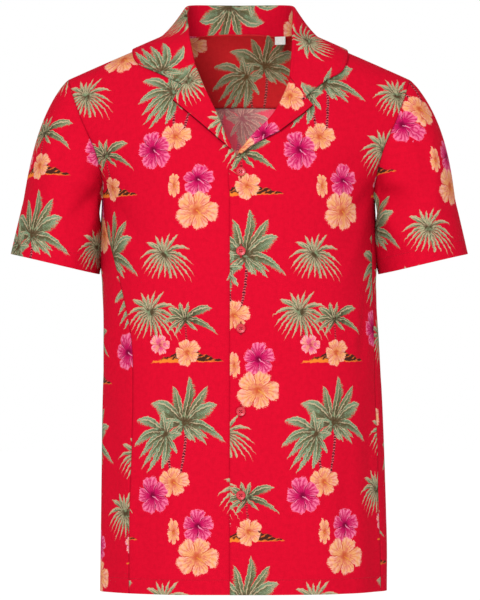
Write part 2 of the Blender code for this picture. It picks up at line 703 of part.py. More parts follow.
def add_wall(name, outer, inner, round_, colour, roughness):
    """Makes a closed wall between two grids of points, as one object."""
    rows, columns = outer.shape[:2]
    vertices = np.concatenate([outer.reshape(-1, 3), inner.reshape(-1, 3)]) * MM
    offset = rows * columns
    last = columns if round_ else columns - 1
    faces = []
    for row in range(rows - 1):
        for column in range(last):
            following = (column + 1) % columns
            a = row * columns + column
            b = row * columns + following
            c = (row + 1) * columns + following
            d = (row + 1) * columns + column
            faces.append((a, d, c, b))
            faces.append((a + offset, b + offset, c + offset, d + offset))
    for column in range(last):
        following = (column + 1) % columns
        for row in (0, rows - 1):
            a, b = row * columns + column, row * columns + following
            faces.append((a, b, b + offset, a + offset))
    if not round_:
        for row in range(rows - 1):
            for column in (0, columns - 1):
                a, b = row * columns + column, (row + 1) * columns + column
                faces.append((a, b, b + offset, a + offset))
    return add_object(name, vertices, faces, colour, roughness)


def plain_material(name, colour, roughness):
    """A plain material that isn't metal."""
    material = bpy.data.materials.new(name)
    material.use_nodes = True
    shader = material.node_tree.nodes["Principled BSDF"]
    shader.inputs["Base Color"].default_value = (*colour, 1.0)
    shader.inputs["Roughness"].default_value = roughness
    shader.inputs["Metallic"].default_value = 0.0
    return material


def add_object(name, vertices, faces, colour, roughness):
    """Makes a mesh object with its own material and soft shading."""
    mesh = bpy.data.meshes.new(name)
    mesh.from_pydata([tuple(v) for v in vertices], [], faces)
    shell = bmesh.new()
    shell.from_mesh(mesh)
    bmesh.ops.recalc_face_normals(shell, faces=shell.faces)
    shell.to_mesh(mesh)
    shell.free()
    mesh.materials.append(plain_material(name, colour, roughness))
    mesh.shade_smooth()
    mesh.set_sharp_from_angle(angle=math.radians(50.0))
    item = bpy.data.objects.new(name, mesh)
    bpy.context.scene.collection.objects.link(item)
    return item


# ---------------------------------------------------------------- pieces

RED = (0.75, 0.005, 0.025)
RED_INSIDE = (0.45, 0.06, 0.08)
BUTTON_RED = (0.62, 0.01, 0.03)
WHITE = (0.85, 0.85, 0.82)
CLOTH_ROUGHNESS, BUTTON_ROUGHNESS = 0.85, 0.35


def make_body():
    """Fronts, yoke, yoke facing, back and sleeves, which share their seam points."""
    fronts = {side: front_grid(side) for side in SIDES}
    yoke = yoke_grid(fronts)
    back = back_grid(yoke, fronts)
    loops = {side: armhole(side, fronts[side], yoke, back) for side in SIDES}
    sleeves = {side: sleeve_grid(side, loops[side]) for side in SIDES}
    grids = {
        "front_right": fronts["right"][:, ::-1],
        "front_left": fronts["left"],
        "yoke": yoke[:, ::-1],
        "back": back[:, ::-1],
        "sleeve_right": sleeves["right"][:, ::-1],
        "sleeve_left": sleeves["left"],
    }
    rounded = {name: name.startswith("sleeve") for name in grids}
    normals = {name: grid_normals(grid, rounded[name]) for name, grid in grids.items()}
    for name in grids:
        outward = grids[name].mean(axis=(0, 1))
        outward[2] = 0.0
        if name.startswith("sleeve"):
            middle = grids[name][4].mean(axis=0)
            facing = (normals[name][4] * (grids[name][4] - middle)).sum()
        else:
            facing = (normals[name] * outward).sum()
        if facing < 0:
            normals[name] = -normals[name]
    normals = share_normals(grids, normals)

    seams = {
        "front_right": ("top", "first"),
        "front_left": ("top", "last"),
        "yoke": ("top", "bottom", "first", "last"),
        "back": ("top", "first", "last"),
        "sleeve_right": ("top",),
        "sleeve_left": ("top",),
    }
    for name, grid in grids.items():
        outer = grid
        if name == "front_right":
            outer = drop_underlap(grid, normals[name])
        inner = outer - normals[name] * CLOTH
        outer = pull_in(outer, seams[name], SEAM_GAP / 2)
        inner = pull_in(inner, seams[name], SEAM_GAP / 2)
        add_wall(name, outer, inner, rounded[name], RED, CLOTH_ROUGHNESS)
    face = grids["yoke"] - normals["yoke"] * (CLOTH + FACING_GAP)
    inner = face - normals["yoke"] * CLOTH
    edges = ("top", "bottom", "first", "last")
    face, inner = pull_in(face, edges, 4 * SEAM_GAP), pull_in(inner, edges, 4 * SEAM_GAP)
    add_wall("yoke_facing", face, inner, False, RED_INSIDE, CLOTH_ROUGHNESS)


def drop_underlap(grid, normals):
    """Moves the under front inwards where the upper front lies over it."""
    reach = (grid[..., 0] + UNDERLAP_FADE) / UNDERLAP_FADE
    below = ease((UNDERLAP_TOP - grid[..., 2]) / UNDERLAP_GROWTH)
    return grid - normals * (UNDERLAP_DROP * ease(reach) * below)[..., None]


def make_collar():
    """The collar, as one doubled wall."""
    face, hidden = collar_grids()
    add_wall("collar", face, hidden, False, RED, CLOTH_ROUGHNESS)


def make_lapels():
    """Both lapels."""
    for side in SIDES:
        grid = lapel_grid(side)
        normals = grid_normals(grid)
        if side == "left":
            normals = -normals
        under = grid - normals * DOUBLE_CLOTH
        add_wall("lapel_" + side, grid, under, False, RED, CLOTH_ROUGHNESS)


def button_mesh():
    """A turned button with a rim, a dished face and four thread holes; its back is at z = 0."""
    disc = bmesh.new()
    rings = []
    for radius, height in BUTTON_PROFILE:
        ring = []
        for step in range(BUTTON_SIDES):
            turn = 2 * math.pi * step / BUTTON_SIDES
            place = Vector((radius * math.cos(turn), radius * math.sin(turn), height)) * MM
            ring.append(disc.verts.new(place))
        rings.append(ring)
    for lower, upper in zip(rings, rings[1:]):
        for step in range(BUTTON_SIDES):
            after = (step + 1) % BUTTON_SIDES
            disc.faces.new((lower[step], lower[after], upper[after], upper[step]))
    disc.faces.new(rings[0])
    disc.faces.new(rings[-1])
    bmesh.ops.recalc_face_normals(disc, faces=disc.faces)
    blank = bpy.data.meshes.new("button_blank")
    disc.to_mesh(blank)
    disc.free()

    drill = bmesh.new()
    for x in (-0.5, 0.5):
        for y in (-0.5, 0.5):
            made = bmesh.ops.create_cone(
                drill,
                cap_ends=True,
                segments=BUTTON_HOLE_SIDES,
                radius1=BUTTON_HOLE_RADIUS * MM,
                radius2=BUTTON_HOLE_RADIUS * MM,
                depth=DRILL_LENGTH * MM,
            )
            offset = Vector((x * BUTTON_HOLE_PITCH, y * BUTTON_HOLE_PITCH, 0.0)) * MM
            bmesh.ops.translate(drill, verts=made["verts"], vec=offset)
    cutter_mesh = bpy.data.meshes.new("button_drill")
    drill.to_mesh(cutter_mesh)
    drill.free()

    body = bpy.data.objects.new("button_blank", blank)
    cutter = bpy.data.objects.new("button_drill", cutter_mesh)
    for item in (body, cutter):
        bpy.context.scene.collection.objects.link(item)
    holes = body.modifiers.new("holes", "BOOLEAN")
    holes.operation = "DIFFERENCE"
    holes.object = cutter
    graph = bpy.context.evaluated_depsgraph_get()
    mesh = bpy.data.meshes.new_from_object(body.evaluated_get(graph))
    bpy.data.objects.remove(body, do_unlink=True)
    bpy.data.objects.remove(cutter, do_unlink=True)
    mesh.name = "button"
    mesh.shade_smooth()
    mesh.set_sharp_from_angle(angle=math.radians(30.0))
    mesh.materials.append(plain_material("button", BUTTON_RED, BUTTON_ROUGHNESS))
    return mesh


def make_buttons():
    """The five buttons, seated on the left front."""
    mesh = button_mesh()
    for number, height in enumerate(BUTTON_HEIGHTS, start=1):
        place, normal = on_front([BUTTON_X], [height])
        button = bpy.data.objects.new(f"button_{number}", mesh)
        button.location = Vector(place[0] + normal[0] * BUTTON_SEAT) * MM
        button.rotation_euler = Vector(normal[0]).to_track_quat("Z", "X").to_euler()
        bpy.context.scene.collection.objects.link(button)


def make_tab():
    """The blank size tab, hanging from the neck seam inside the yoke facing."""
    x = [TAB_X - TAB_WIDTH / 2, TAB_X + TAB_WIDTH / 2]
    rows = smooth([p.x for p in BACK_NECK], [p.row for p in BACK_NECK], x)
    ends = [body_point("left", row, angle_at("left", -row, at)) for row, at in zip(rows, x)]
    along = unit(ends[1] - ends[0])
    inward = unit(np.array([along[1], -along[0], 0.0]))
    depth = CLOTH + FACING_GAP + CLOTH + TAB_CLEARANCE
    top = min(end[2] for end in ends) - TAB_CLEARANCE
    outer, inner = [], []
    for end in ends:
        column = []
        for height in (top, top - TAB_HEIGHT):
            column.append(np.array([end[0], end[1], height]) + inward * depth)
        outer.append(column)
        inner.append([point + inward * TAB_THICKNESS for point in column])
    outer, inner = np.array(outer), np.array(inner)
    add_wall("size_tab", outer, inner, False, WHITE, CLOTH_ROUGHNESS)


def main():
    """Clears the scene and makes every piece."""
    for item in list(bpy.data.objects):
        bpy.data.objects.remove(item, do_unlink=True)
    make_body()
    make_collar()
    make_lapels()
    make_buttons()
    make_tab()


main()
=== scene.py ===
"""A short-sleeved camp-collar shirt in a tropical print, filled out as if it were worn.

Tables hold millimetres and the meshes are made in metres. +Z is up, -Y is out of the buttoned
front and +X is the wearer's left. The body is a loft over numbered rows: row 0 is the shoulder
line, row 6 the yoke seam behind, row 10 passes through the armpits and row 18 is the hem. Along
a row the angle runs from 0 at the centre front over 90 at the side to 180 at the centre back.
"""

import logging
import math
from collections.abc import Callable, Sequence
from dataclasses import dataclass, field
from enum import Enum

import bmesh
import bpy
import numpy as np
from mathutils import Matrix, Vector
from mathutils.kdtree import KDTree


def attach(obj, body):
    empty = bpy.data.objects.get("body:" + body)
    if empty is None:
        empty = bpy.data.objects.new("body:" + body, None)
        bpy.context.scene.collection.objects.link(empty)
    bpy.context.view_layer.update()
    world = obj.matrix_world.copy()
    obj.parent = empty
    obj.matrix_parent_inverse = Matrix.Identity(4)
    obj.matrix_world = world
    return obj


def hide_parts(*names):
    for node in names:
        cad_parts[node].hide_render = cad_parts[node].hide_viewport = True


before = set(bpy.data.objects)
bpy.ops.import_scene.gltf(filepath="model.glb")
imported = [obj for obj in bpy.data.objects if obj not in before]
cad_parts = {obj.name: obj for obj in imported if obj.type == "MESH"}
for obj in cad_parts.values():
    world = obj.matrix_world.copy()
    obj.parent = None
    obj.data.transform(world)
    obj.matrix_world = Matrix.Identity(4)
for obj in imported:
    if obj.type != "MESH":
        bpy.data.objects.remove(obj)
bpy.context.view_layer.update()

LOG = logging.getLogger("shirt")
MM = 0.001
Array = np.ndarray
Table = Sequence[Sequence[float]]
ARMPIT_ROW, HEM_ROW, YOKE_ROW = 10, 18, 6
CLOSE_ROW = 9  # from here to the armpit the cloth's lines run closer together
SHOULDER_STATION, GORGE_STATION = 4.0, 8.0  # along the neck, from 0 at the centre back
EXTRA_LINES = np.array([0.16, 0.42])  # added next to a sewn edge, counted in lines
COARSE_GRID = (24, 18)  # rows and columns that a panel is laid flat by
LAYING_ROUNDS = 500
TINY = 1e-6
CROWN = (-69.9, -513.8)  # where the middle of a tall palm falls on the right front, seen from ahead


class Side(Enum):
    """The wearer's right and left; the value is the sign of x."""

    RIGHT = -1.0
    LEFT = 1.0

    @property
    def word(self) -> str:
        """The side's name, as the pieces are called."""
        return self.name.lower()


class Edge(Enum):
    """The four edges of a panel's grid."""

    TOP = "top"
    BOTTOM = "bottom"
    FIRST = "first"
    LAST = "last"


# ---- numbers and grids


def smooth(stations: Sequence[float], values: Array, at: Array) -> Array:
    """Reads a table along a curve that passes smoothly through its rows.

    Args:
        stations: where the table's rows stand, rising.
        values: one number, or one array, for each row.
        at: where to read.

    Returns:
        The values read, with the shape of `at` before that of one row.
    """
    stations = np.asarray(stations, dtype=float)
    values = np.asarray(values, dtype=float)
    at = np.asarray(at, dtype=float)
    slopes = np.gradient(values, stations, axis=0)
    cell = np.clip(np.searchsorted(stations, at, side="right") - 1, 0, len(stations) - 2)
    step = stations[cell + 1] - stations[cell]
    f = (at - stations[cell]) / step
    extra = (1,) * (values.ndim - 1)
    f, step = f.reshape(f.shape + extra), step.reshape(step.shape + extra)
    start = (1 + 2 * f) * (1 - f) ** 2 * values[cell] + f * (1 - f) ** 2 * step * slopes[cell]
    end = f * f * (3 - 2 * f) * values[cell + 1] + f * f * (f - 1) * step * slopes[cell + 1]
    return start + end


def ease(value: Array) -> Array:
    """Rises smoothly from 0 to 1 as `value` does."""
    value = np.clip(value, 0.0, 1.0)
    return value * value * (3.0 - 2.0 * value)


def unit(vectors: Array) -> Array:
    """Scales vectors, held in the last axis, to length 1."""
    length = np.linalg.norm(vectors, axis=-1, keepdims=True)
    return vectors / np.maximum(length, 1e-9)


def run_lengths(points: Array) -> Array:
    """Length from the first point of a line to each of its points, along its first axis."""
    steps = np.linalg.norm(np.diff(points, axis=0), axis=-1)
    return np.concatenate([np.zeros((1,) + steps.shape[1:]), np.cumsum(steps, axis=0)])


def grid_normals(grid: Array) -> Array:
    """Normals of a grid of points, along across x down."""
    return unit(np.cross(np.gradient(grid, axis=1), np.gradient(grid, axis=0)))


def around(grid: Array) -> Array:
    """The outermost entries of a grid, once round from its first corner."""
    return np.concatenate([grid[0, :-1], grid[:-1, -1], grid[-1, :0:-1], grid[:0:-1, 0]])


def from_edge(grid: Array, edge: Edge) -> Array:
    """A view of a grid that starts from one of its edges."""
    turned = grid.swapaxes(0, 1) if edge in (Edge.FIRST, Edge.LAST) else grid
    return turned[::-1] if edge in (Edge.BOTTOM, Edge.LAST) else turned


def read_line(at: Array, stations: Array, values: Array) -> Array:
    """Reads a line of points or vectors straight between its stations."""
    return np.stack([np.interp(at, stations, column) for column in values.T], axis=-1)


def resample(grid: Array, rows: Array, columns: Array) -> Array:
    """Reads a grid between its points.

    Args:
        grid: rows x columns x values.
        rows: where to read along the rows, counted in rows.
        columns: where to read across them, counted in columns.

    Returns:
        The new grid.
    """
    tall = smooth(np.arange(grid.shape[0]), grid, rows)
    return smooth(np.arange(grid.shape[1]), tall.swapaxes(0, 1), columns).swapaxes(0, 1)


def crowd(count: int, start: bool, end: bool) -> Array:
    """Places along a grid's lines, with more of them next to an edge that is sewn.

    Args:
        count: lines that the grid has.
        start: whether its first edge is sewn.
        end: whether its last edge is sewn.

    Returns:
        The places, counted in lines.
    """
    inner = np.arange(count, dtype=float)
    parts = [inner]
    if start:
        parts.append(EXTRA_LINES)
    if end:
        parts.append(count - 1 - EXTRA_LINES)
    return np.sort(np.concatenate(parts))


def stand(name: str, data: bpy.types.ID) -> bpy.types.Object:
    """Makes an object of a mesh, lamp or camera, and puts it in the scene.

    Args:
        name: the object's name.
        data: the mesh, lamp or camera.

    Returns:
        The object.
    """
    made = bpy.data.objects.new(name, data)
    bpy.context.scene.collection.objects.link(made)
    return made


@dataclass(frozen=True)
class Crease:
    """A soft ridge or trough from one place to another; out of the cloth is positive.

    On the body a place is (angle, height), on a sleeve (turn, share of its length).
    """

    start: tuple[float, float]
    end: tuple[float, float]
    depth: float
    width: float
    faded: float = 0.3  # share of the depth that is left at the ends

    def push(self, place: Array, scale: tuple[float, float]) -> Array:
        """How far the crease pushes the cloth out.

        Args:
            place: the two coordinates of each point, in the last axis.
            scale: millimetres for one unit of each coordinate.

        Returns:
            The push at each point.
        """
        size = np.array(scale)
        start, end = np.array(self.start) * size, np.array(self.end) * size
        line = end - start
        place = place * size
        share = np.clip(((place - start) @ line) / (line @ line), 0.0, 1.0)
        away = np.linalg.norm(place - start - share[..., None] * line, axis=-1)
        swell = self.faded + (1 - self.faded) * np.sin(math.pi * np.clip(share, 0.02, 0.98))
        return self.depth * np.exp(-((away / self.width) ** 2)) * swell


def creases(rows: Table) -> tuple[Crease, ...]:
    """Creases from rows that hold a start, an end, a depth and a width."""
    return tuple(Crease((a, b), (c, d), depth, width) for a, b, c, d, depth, width in rows)


# ---- the body's form


@dataclass(frozen=True)
class HangingFold:
    """A soft fold that hangs down the body from one angle and height to another."""

    angle_top: float
    angle_foot: float
    top: float
    depth: float
    width: float
    foot: float = -800.0
    fade: float = 120.0

    def push(self, angle: Array, height: Array) -> Array:
        """How far the fold pushes the cloth out at angles and heights.

        Args:
            angle: the points' angles.
            height: their heights.

        Returns:
            The push at each point.
        """
        share = np.clip((self.top - height) / (self.top - self.foot), 0.0, 1.0)
        middle = self.angle_top + (self.angle_foot - self.angle_top) * share
        shape = np.exp(-(((angle - middle) / self.width) ** 2))
        return self.depth * shape * ease((self.top - height) / self.fade)


@dataclass
class BodyForm:
    """The outer face of the filled-out body, as a place for each row and angle."""

    squareness: float = 2.3
    shoulder_y: float = 5.0
    slope_softness: float = 60.0
    under_edge: float = -16.0
    upper_edge: float = -12.0
    angle_scale: float = 2.4  # millimetres of cloth for one degree
    samples: int = 181  # places that measure a row's length
    # centre height, side height, depth, half width, armhole x, right inner x, left inner x
    chest: Table = (
        (28.4, -54.0, 0.0, 262.0, 231.0, 78.0, 78.0),
        (26.5, -56.0, 18.5, 272.0, 229.5, 77.0, 77.5),
        (21.0, -62.0, 35.0, 268.0, 227.0, 75.0, 76.5),
        (9.0, -75.0, 50.5, 267.0, 223.0, 70.5, 75.0),
        (-14.0, -92.0, 64.0, 263.0, 217.0, 64.0, 73.0),
        (-42.0, -110.0, 78.5, 252.6, 210.0, 54.7, 69.1),
        (-72.0, -128.0, 92.0, 236.9, 202.0, 43.4, 59.4),
        (-106.0, -147.0, 104.5, 219.0, 194.0, 28.6, 42.4),
        (-140.0, -168.0, 115.0, 202.4, 187.5, 14.3, 12.8),
        (-175.0, -190.0, 122.5, 189.4, 183.5, -8.0, -12.0),
    )
    # centre height, side height, depth, half width, armhole x
    blades: Table = (
        (26.0, -55.5, 19.5, 251.6, 229.5),
        (20.5, -58.0, 39.0, 250.0, 228.0),
        (12.0, -63.0, 57.5, 246.7, 226.0),
        (-12.0, -73.0, 81.0, 240.4, 224.0),
        (-48.0, -85.0, 100.5, 236.3, 221.5),
        (-87.0, -96.0, 112.0, 234.6, 219.0),
        (-120.0, -125.0, 118.5, 231.2, 211.0),
        (-155.0, -157.0, 123.0, 222.2, 202.5),
        (-188.0, -189.0, 126.5, 202.5, 192.0),
    )
    # height, right width, left width, front depth, back depth, right seam, left seam
    trunk: Table = (
        (-214.0, 183.0, 181.5, 128.0, 128.0, 181.4, 179.2),
        (-260.0, 181.5, 179.5, 131.0, 131.0, 176.0, 176.5),
        (-330.0, 184.5, 182.0, 132.5, 133.0, 158.0, 178.0),
        (-400.0, 185.0, 185.0, 132.0, 133.0, 143.5, 180.0),
        (-470.0, 185.5, 188.5, 131.0, 131.0, 141.0, 181.5),
        (-540.0, 186.0, 192.0, 130.0, 129.0, 142.5, 184.0),
        (-610.0, 186.5, 194.5, 129.5, 128.0, 144.0, 186.5),
        (-680.0, 187.0, 196.5, 129.5, 128.0, 145.0, 189.0),
        (-739.0, 187.5, 196.5, 129.5, 128.0, 146.0, 189.5),
    )
    back_neck: Table = ((3.0, 0.0), (2.75, 36.0), (2.1, 60.0), (1.1, 74.0), (0.0, 78.0))
    folds: dict[Side, tuple[HangingFold, ...]] = field(
        default_factory=lambda: {
            Side.RIGHT: (
                HangingFold(70, 74, -330, 3.5, 7),
                HangingFold(86, 92, -250, -4.0, 8),
                HangingFold(28, 24, -470, 2.4, 8),
                HangingFold(118, 112, -260, 5.0, 10),
                HangingFold(141, 136, -170, -5.0, 9),
                HangingFold(162, 160, -230, 4.5, 9),
            ),
            Side.LEFT: (
                HangingFold(84, 80, -300, 3.5, 7),
                HangingFold(62, 66, -420, -2.8, 8),
                HangingFold(30, 34, -520, 2.2, 9),
                HangingFold(104, 108, -240, -4.5, 9),
                HangingFold(128, 132, -200, 5.0, 10),
                HangingFold(156, 151, -190, -4.5, 9),
            ),
        }
    )
    creases: dict[Side, tuple[Crease, ...]] = field(
        default_factory=lambda: {
            Side.RIGHT: creases(
                (
                    (74, -196, 46, -262, -2.6, 13), (70, -222, 40, -318, 2.0, 12),
                    (62, -150, 34, -205, -1.8, 14), (58, -330, 55, -470, -1.6, 9),
                    (20, -250, 33, -360, -1.2, 14), (50, -560, 47, -735, 1.9, 10),
                    (78, -420, 64, -530, -1.8, 12), (14, -560, 19, -700, -1.3, 12),
                    (100, -205, 128, -300, -3.0, 16), (112, -240, 143, -360, 2.4, 15),
                    (90, -214, 90, -330, 5.4, 26), (152, -120, 166, -260, -2.0, 16),
                    (150, -460, 172, -610, 1.8, 14),
                )
            ),
            Side.LEFT: creases(
                (
                    (74, -198, 48, -252, -2.8, 12), (72, -226, 44, -330, 2.3, 13),
                    (60, -140, 38, -190, -1.7, 15), (66, -340, 58, -450, -2.0, 9),
                    (60, -352, 50, -430, 1.4, 8), (22, -300, 36, -410, -1.1, 15),
                    (46, -540, 42, -738, -1.8, 11), (80, -470, 68, -600, 1.8, 12),
                    (98, -206, 124, -310, -2.8, 15), (116, -236, 147, -330, 2.6, 16),
                    (90, -214, 90, -330, 5.9, 26), (154, -130, 170, -250, -1.8, 17),
                    (146, -500, 166, -640, -1.9, 14),
                )
            ),
        }
    )

    def __post_init__(self) -> None:
        """Joins the tables into one profile over the shoulder for each side."""
        self.rows = np.arange(-HEM_ROW, HEM_ROW + 1)
        self.profiles = {side: self._profile(side) for side in Side}

    def _profile(self, side: Side) -> dict[str, Array]:
        """The columns that shape one side, each with a value for every signed row.

        Args:
            side: the wearer's side.

        Returns:
            The columns by name.
        """
        chest, blades, trunk = (np.array(t) for t in (self.chest, self.blades, self.trunk))
        width, seam = (1, 5) if side is Side.RIGHT else (2, 6)
        sign = np.where(self.rows < 0, 1.0, -1.0)

        def column(body: int, front: int, back: int) -> Array:
            """Joins a column of the body's tables to one of the trunk's, ahead and behind.

            Args:
                body: its place in both of the body's tables.
                front: its place in the trunk's, ahead.
                back: its place in the trunk's, behind.

            Returns:
                The column, from the hem behind to the hem ahead.
            """
            behind = np.concatenate([trunk[::-1, back], blades[::-1, body]])
            ahead = np.concatenate([chest[:, body], trunk[:, front]])
            return np.concatenate([behind, ahead])

        return {
            "centre": column(0, 0, 0),
            "side": column(1, 0, 0),
            "depth": column(2, 3, 4) * sign,
            "half": column(3, width, width),
            "edge": column(4, seam, seam),
        }

    def read(self, side: Side, name: str, row: Array) -> Array:
        """A column's value at a signed row: above 0 in front, below 0 behind."""
        return smooth(self.rows, self.profiles[side][name], row)

    def point(self, side: Side, row: Array, angle: Array) -> Array:
        """Points of the outer face.

        Args:
            side: the wearer's side.
            row: rows, from 0 to 18.
            angle: angles, from 0 to 180.

        Returns:
            The points, in the last axis.
        """
        row, angle = np.broadcast_arrays(np.asarray(row, float), np.asarray(angle, float))
        signed = np.where(angle < 90.0, row, -row)
        turn = np.radians(angle)
        power = 2.0 / self.squareness
        across = np.sign(np.sin(turn)) * np.abs(np.sin(turn)) ** power
        along = np.abs(np.cos(turn)) ** power
        x = self.read(side, "half", signed) * across
        level = self.shoulder_y * (1.0 - np.clip(row / ARMPIT_ROW, 0, 1))
        y = level + self.read(side, "depth", signed) * along
        centre = self.read(side, "centre", signed)
        drop = self.read(side, "side", signed) - centre
        z = centre + drop * self._fall(x) / self._fall(self.read(side, "edge", signed))
        push = sum(fold.push(angle, z) for fold in self.folds[side])
        place = np.stack([angle, z], axis=-1)
        for crease in self.creases[side]:
            push = push + crease.push(place, (self.angle_scale, 1.0))
        return np.stack(
            [side.value * (x + push * np.sin(turn)), y - push * np.cos(turn), z], axis=-1
        )

    def _fall(self, x: Array) -> Array:
        """How a row comes down towards the shoulder, level at the centre."""
        return np.sqrt(x * x + self.slope_softness**2) - self.slope_softness

    def angle_at(self, side: Side, signed_row: Array, x: Array) -> Array:
        """The angle at which a row passes `x`, measured outward from the centre.

        Args:
            side: the wearer's side.
            signed_row: the row, below 0 behind.
            x: how far out.

        Returns:
            The angle in degrees.
        """
        ratio = np.clip(x / self.read(side, "half", signed_row), -1.0, 1.0)
        power = self.squareness / 2.0
        turn = np.degrees(np.arcsin(np.sign(ratio) * np.abs(ratio) ** power))
        return np.where(np.asarray(signed_row) >= 0, turn, 180.0 - turn)

    def inner_x(self, side: Side, row: Array) -> Array:
        """Where a front's inner edge runs: neck seam, roll line, then the closure's edge.

        Args:
            side: the wearer's side.
            row: the rows.

        Returns:
            The edge's x at each row.
        """
        edge = self.under_edge if side is Side.RIGHT else self.upper_edge
        table = np.array(self.chest)[:, 5 if side is Side.RIGHT else 6]
        column = np.concatenate([table, np.full(len(self.trunk), edge)])
        values = smooth(np.arange(HEM_ROW + 1), column, row)
        return np.where(np.asarray(row) > ARMPIT_ROW, edge, values)

    def even_row(self, side: Side, row: float, ends: Sequence[float], shares: Array) -> Array:
        """Points at shares of a row's length.

        Args:
            side: the wearer's side.
            row: the row.
            ends: the angles where it starts and ends.
            shares: places along it, as shares of its length.

        Returns:
            One point for each share.
        """
        angles = np.linspace(*ends, self.samples)
        length = run_lengths(self.point(side, row, angles))
        return self.point(side, row, np.interp(shares * length[-1], length, angles))

    def neck_station(self, at: Array) -> tuple[Array, Array]:
        """Row and x of the back neck seam, from 0 at the centre back to 4 at the shoulder.

        Args:
            at: the stations.

        Returns:
            The rows, and the x.
        """
        table = np.array(self.back_neck)
        row, x = smooth(range(len(table)), table, at).T
        return row, x


class BodySurface:
    """The body's outer face as a cloud of places, so that cloth can lie on it."""

    QUARTERS = ((0.0, 89.0), (91.0, 180.0))  # angles in front and behind
    FIRST_ROW, LINES, COLUMNS = 0.05, 300, 140  # of each quarter
    FRONT = -0.15  # the front is where the normal's y is less than this

    def __init__(self, form: BodyForm) -> None:
        """Takes the places, with their outward normals.

        Args:
            form: the body's form.
        """
        points, normals = [], []
        down = np.linspace(self.FIRST_ROW, HEM_ROW, self.LINES)
        for side in Side:
            for span in self.QUARTERS:
                rows, angles = np.meshgrid(down, np.linspace(*span, self.COLUMNS), indexing="ij")
                grid = form.point(side, rows, angles)
                normal = np.cross(np.gradient(grid, axis=0), np.gradient(grid, axis=1))
                points.append(grid.reshape(-1, 3))
                normals.append(unit(normal * side.value).reshape(-1, 3))
        self.points = np.concatenate(points)
        self.normals = np.concatenate(normals)
        self.front = np.flatnonzero(self.normals[:, 1] < self.FRONT)
        self.near = self._tree(self.points, np.arange(len(self.points)))
        self.ahead = self._tree(self.points * np.array([1.0, 0.0, 1.0]), self.front)

    @staticmethod
    def _tree(points: Array, chosen: Array) -> KDTree:
        """A search tree of the chosen points.

        Args:
            points: all the points.
            chosen: numbers of the chosen ones.

        Returns:
            The tree.
        """
        tree = KDTree(len(chosen))
        for index in chosen:
            tree.insert(points[index], int(index))
        tree.balance()
        return tree

    def above(self, points: Array) -> tuple[Array, Array]:
        """Height of points above the face, and the face's normals there.

        Args:
            points: the points.

        Returns:
            Their heights, and the normals.
        """
        flat = points.reshape(-1, 3)
        nearest = np.array([self.near.find(point)[1] for point in flat])
        normals = self.normals[nearest]
        heights = np.einsum("ij,ij->i", flat - self.points[nearest], normals)
        return heights.reshape(points.shape[:-1]), normals.reshape(points.shape)

    def lift_clear(self, points: Array, clearance: Array | float) -> Array:
        """Moves points out until they are at least `clearance` above the face.

        Args:
            points: the points.
            clearance: the least height, one for all or one for each.

        Returns:
            The points, moved.
        """
        clearance = np.broadcast_to(clearance, points.shape[:-1])
        for _ in range(2):
            height, normal = self.above(points)
            points = points + normal * np.maximum(clearance - height, 0.0)[..., None]
        return points

    def on_front(self, x: Array, z: Array) -> tuple[Array, Array]:
        """The points of the front at places in front view, and the normals there.

        Args:
            x: the places across.
            z: and up.

        Returns:
            The points, and the normals.
        """
        nearest = np.array([self.ahead.find((px, 0.0, pz))[1] for px, pz in zip(x, z)])
        q, n = self.points[nearest], self.normals[nearest]
        y = q[:, 1] - ((x - q[:, 0]) * n[:, 0] + (z - q[:, 2]) * n[:, 2]) / n[:, 1]
        return np.stack([x, y, z], axis=-1), n


# ---- cutting the cloth


def flatten(points: Array, normals: Array) -> Array:
    """Lays a curved panel flat, keeping the lengths of its threads as well as it can.

    Args:
        points: the panel's grid of points.
        normals: their normals on the face that is seen.

    Returns:
        A flat place for each point, read as someone facing the panel sees it.
    """
    rows, columns = (
        np.unique(np.linspace(0, size - 1, count).round().astype(int))
        for size, count in zip(points.shape, COARSE_GRID)
    )
    coarse = points[np.ix_(rows, columns)]
    tall, wide = coarse.shape[:2]
    across = run_lengths(coarse.swapaxes(0, 1)).swapaxes(0, 1)
    across = across - across[:, wide // 2 : wide // 2 + 1]
    down = run_lengths(coarse[:, wide // 2])[:, None] * np.ones((1, wide))
    laid = np.stack([across, -down], axis=-1).reshape(-1, 2)
    number = np.arange(tall * wide).reshape(tall, wide)
    neighbours = (
        (number[1:], number[:-1]),
        (number[:, 1:], number[:, :-1]),
        (number[1:, 1:], number[:-1, :-1]),
        (number[1:, :-1], number[:-1, 1:]),
    )
    pairs = np.concatenate([np.stack([a.ravel(), b.ravel()], axis=-1) for a, b in neighbours])
    flat_points = coarse.reshape(-1, 3)
    length = np.linalg.norm(flat_points[pairs[:, 0]] - flat_points[pairs[:, 1]], axis=-1)
    ties = np.zeros((len(laid), len(laid)))
    for a, b in ((0, 1), (1, 0)):
        np.add.at(ties, (pairs[:, a], pairs[:, a]), 1.0)
        np.add.at(ties, (pairs[:, a], pairs[:, b]), -1.0)
    solve = np.linalg.pinv(ties)
    for _ in range(LAYING_ROUNDS):
        gap = laid[pairs[:, 0]] - laid[pairs[:, 1]]
        pull = gap * (length / np.maximum(np.linalg.norm(gap, axis=-1), TINY))[:, None]
        total = np.zeros_like(laid)
        np.add.at(total, pairs[:, 0], pull)
        np.add.at(total, pairs[:, 1], -pull)
        laid = solve @ total
    laid = laid.reshape(tall, wide, 2)
    middle = (points.shape[0] // 2, points.shape[1] // 2)
    facing = np.dot(grid_normals(points)[middle], normals[middle])
    if facing > 0:
        laid[..., 0] = -laid[..., 0]
    fine = smooth(rows, laid, np.arange(points.shape[0]))
    return smooth(columns, fine.swapaxes(0, 1), np.arange(points.shape[1])).swapaxes(0, 1)


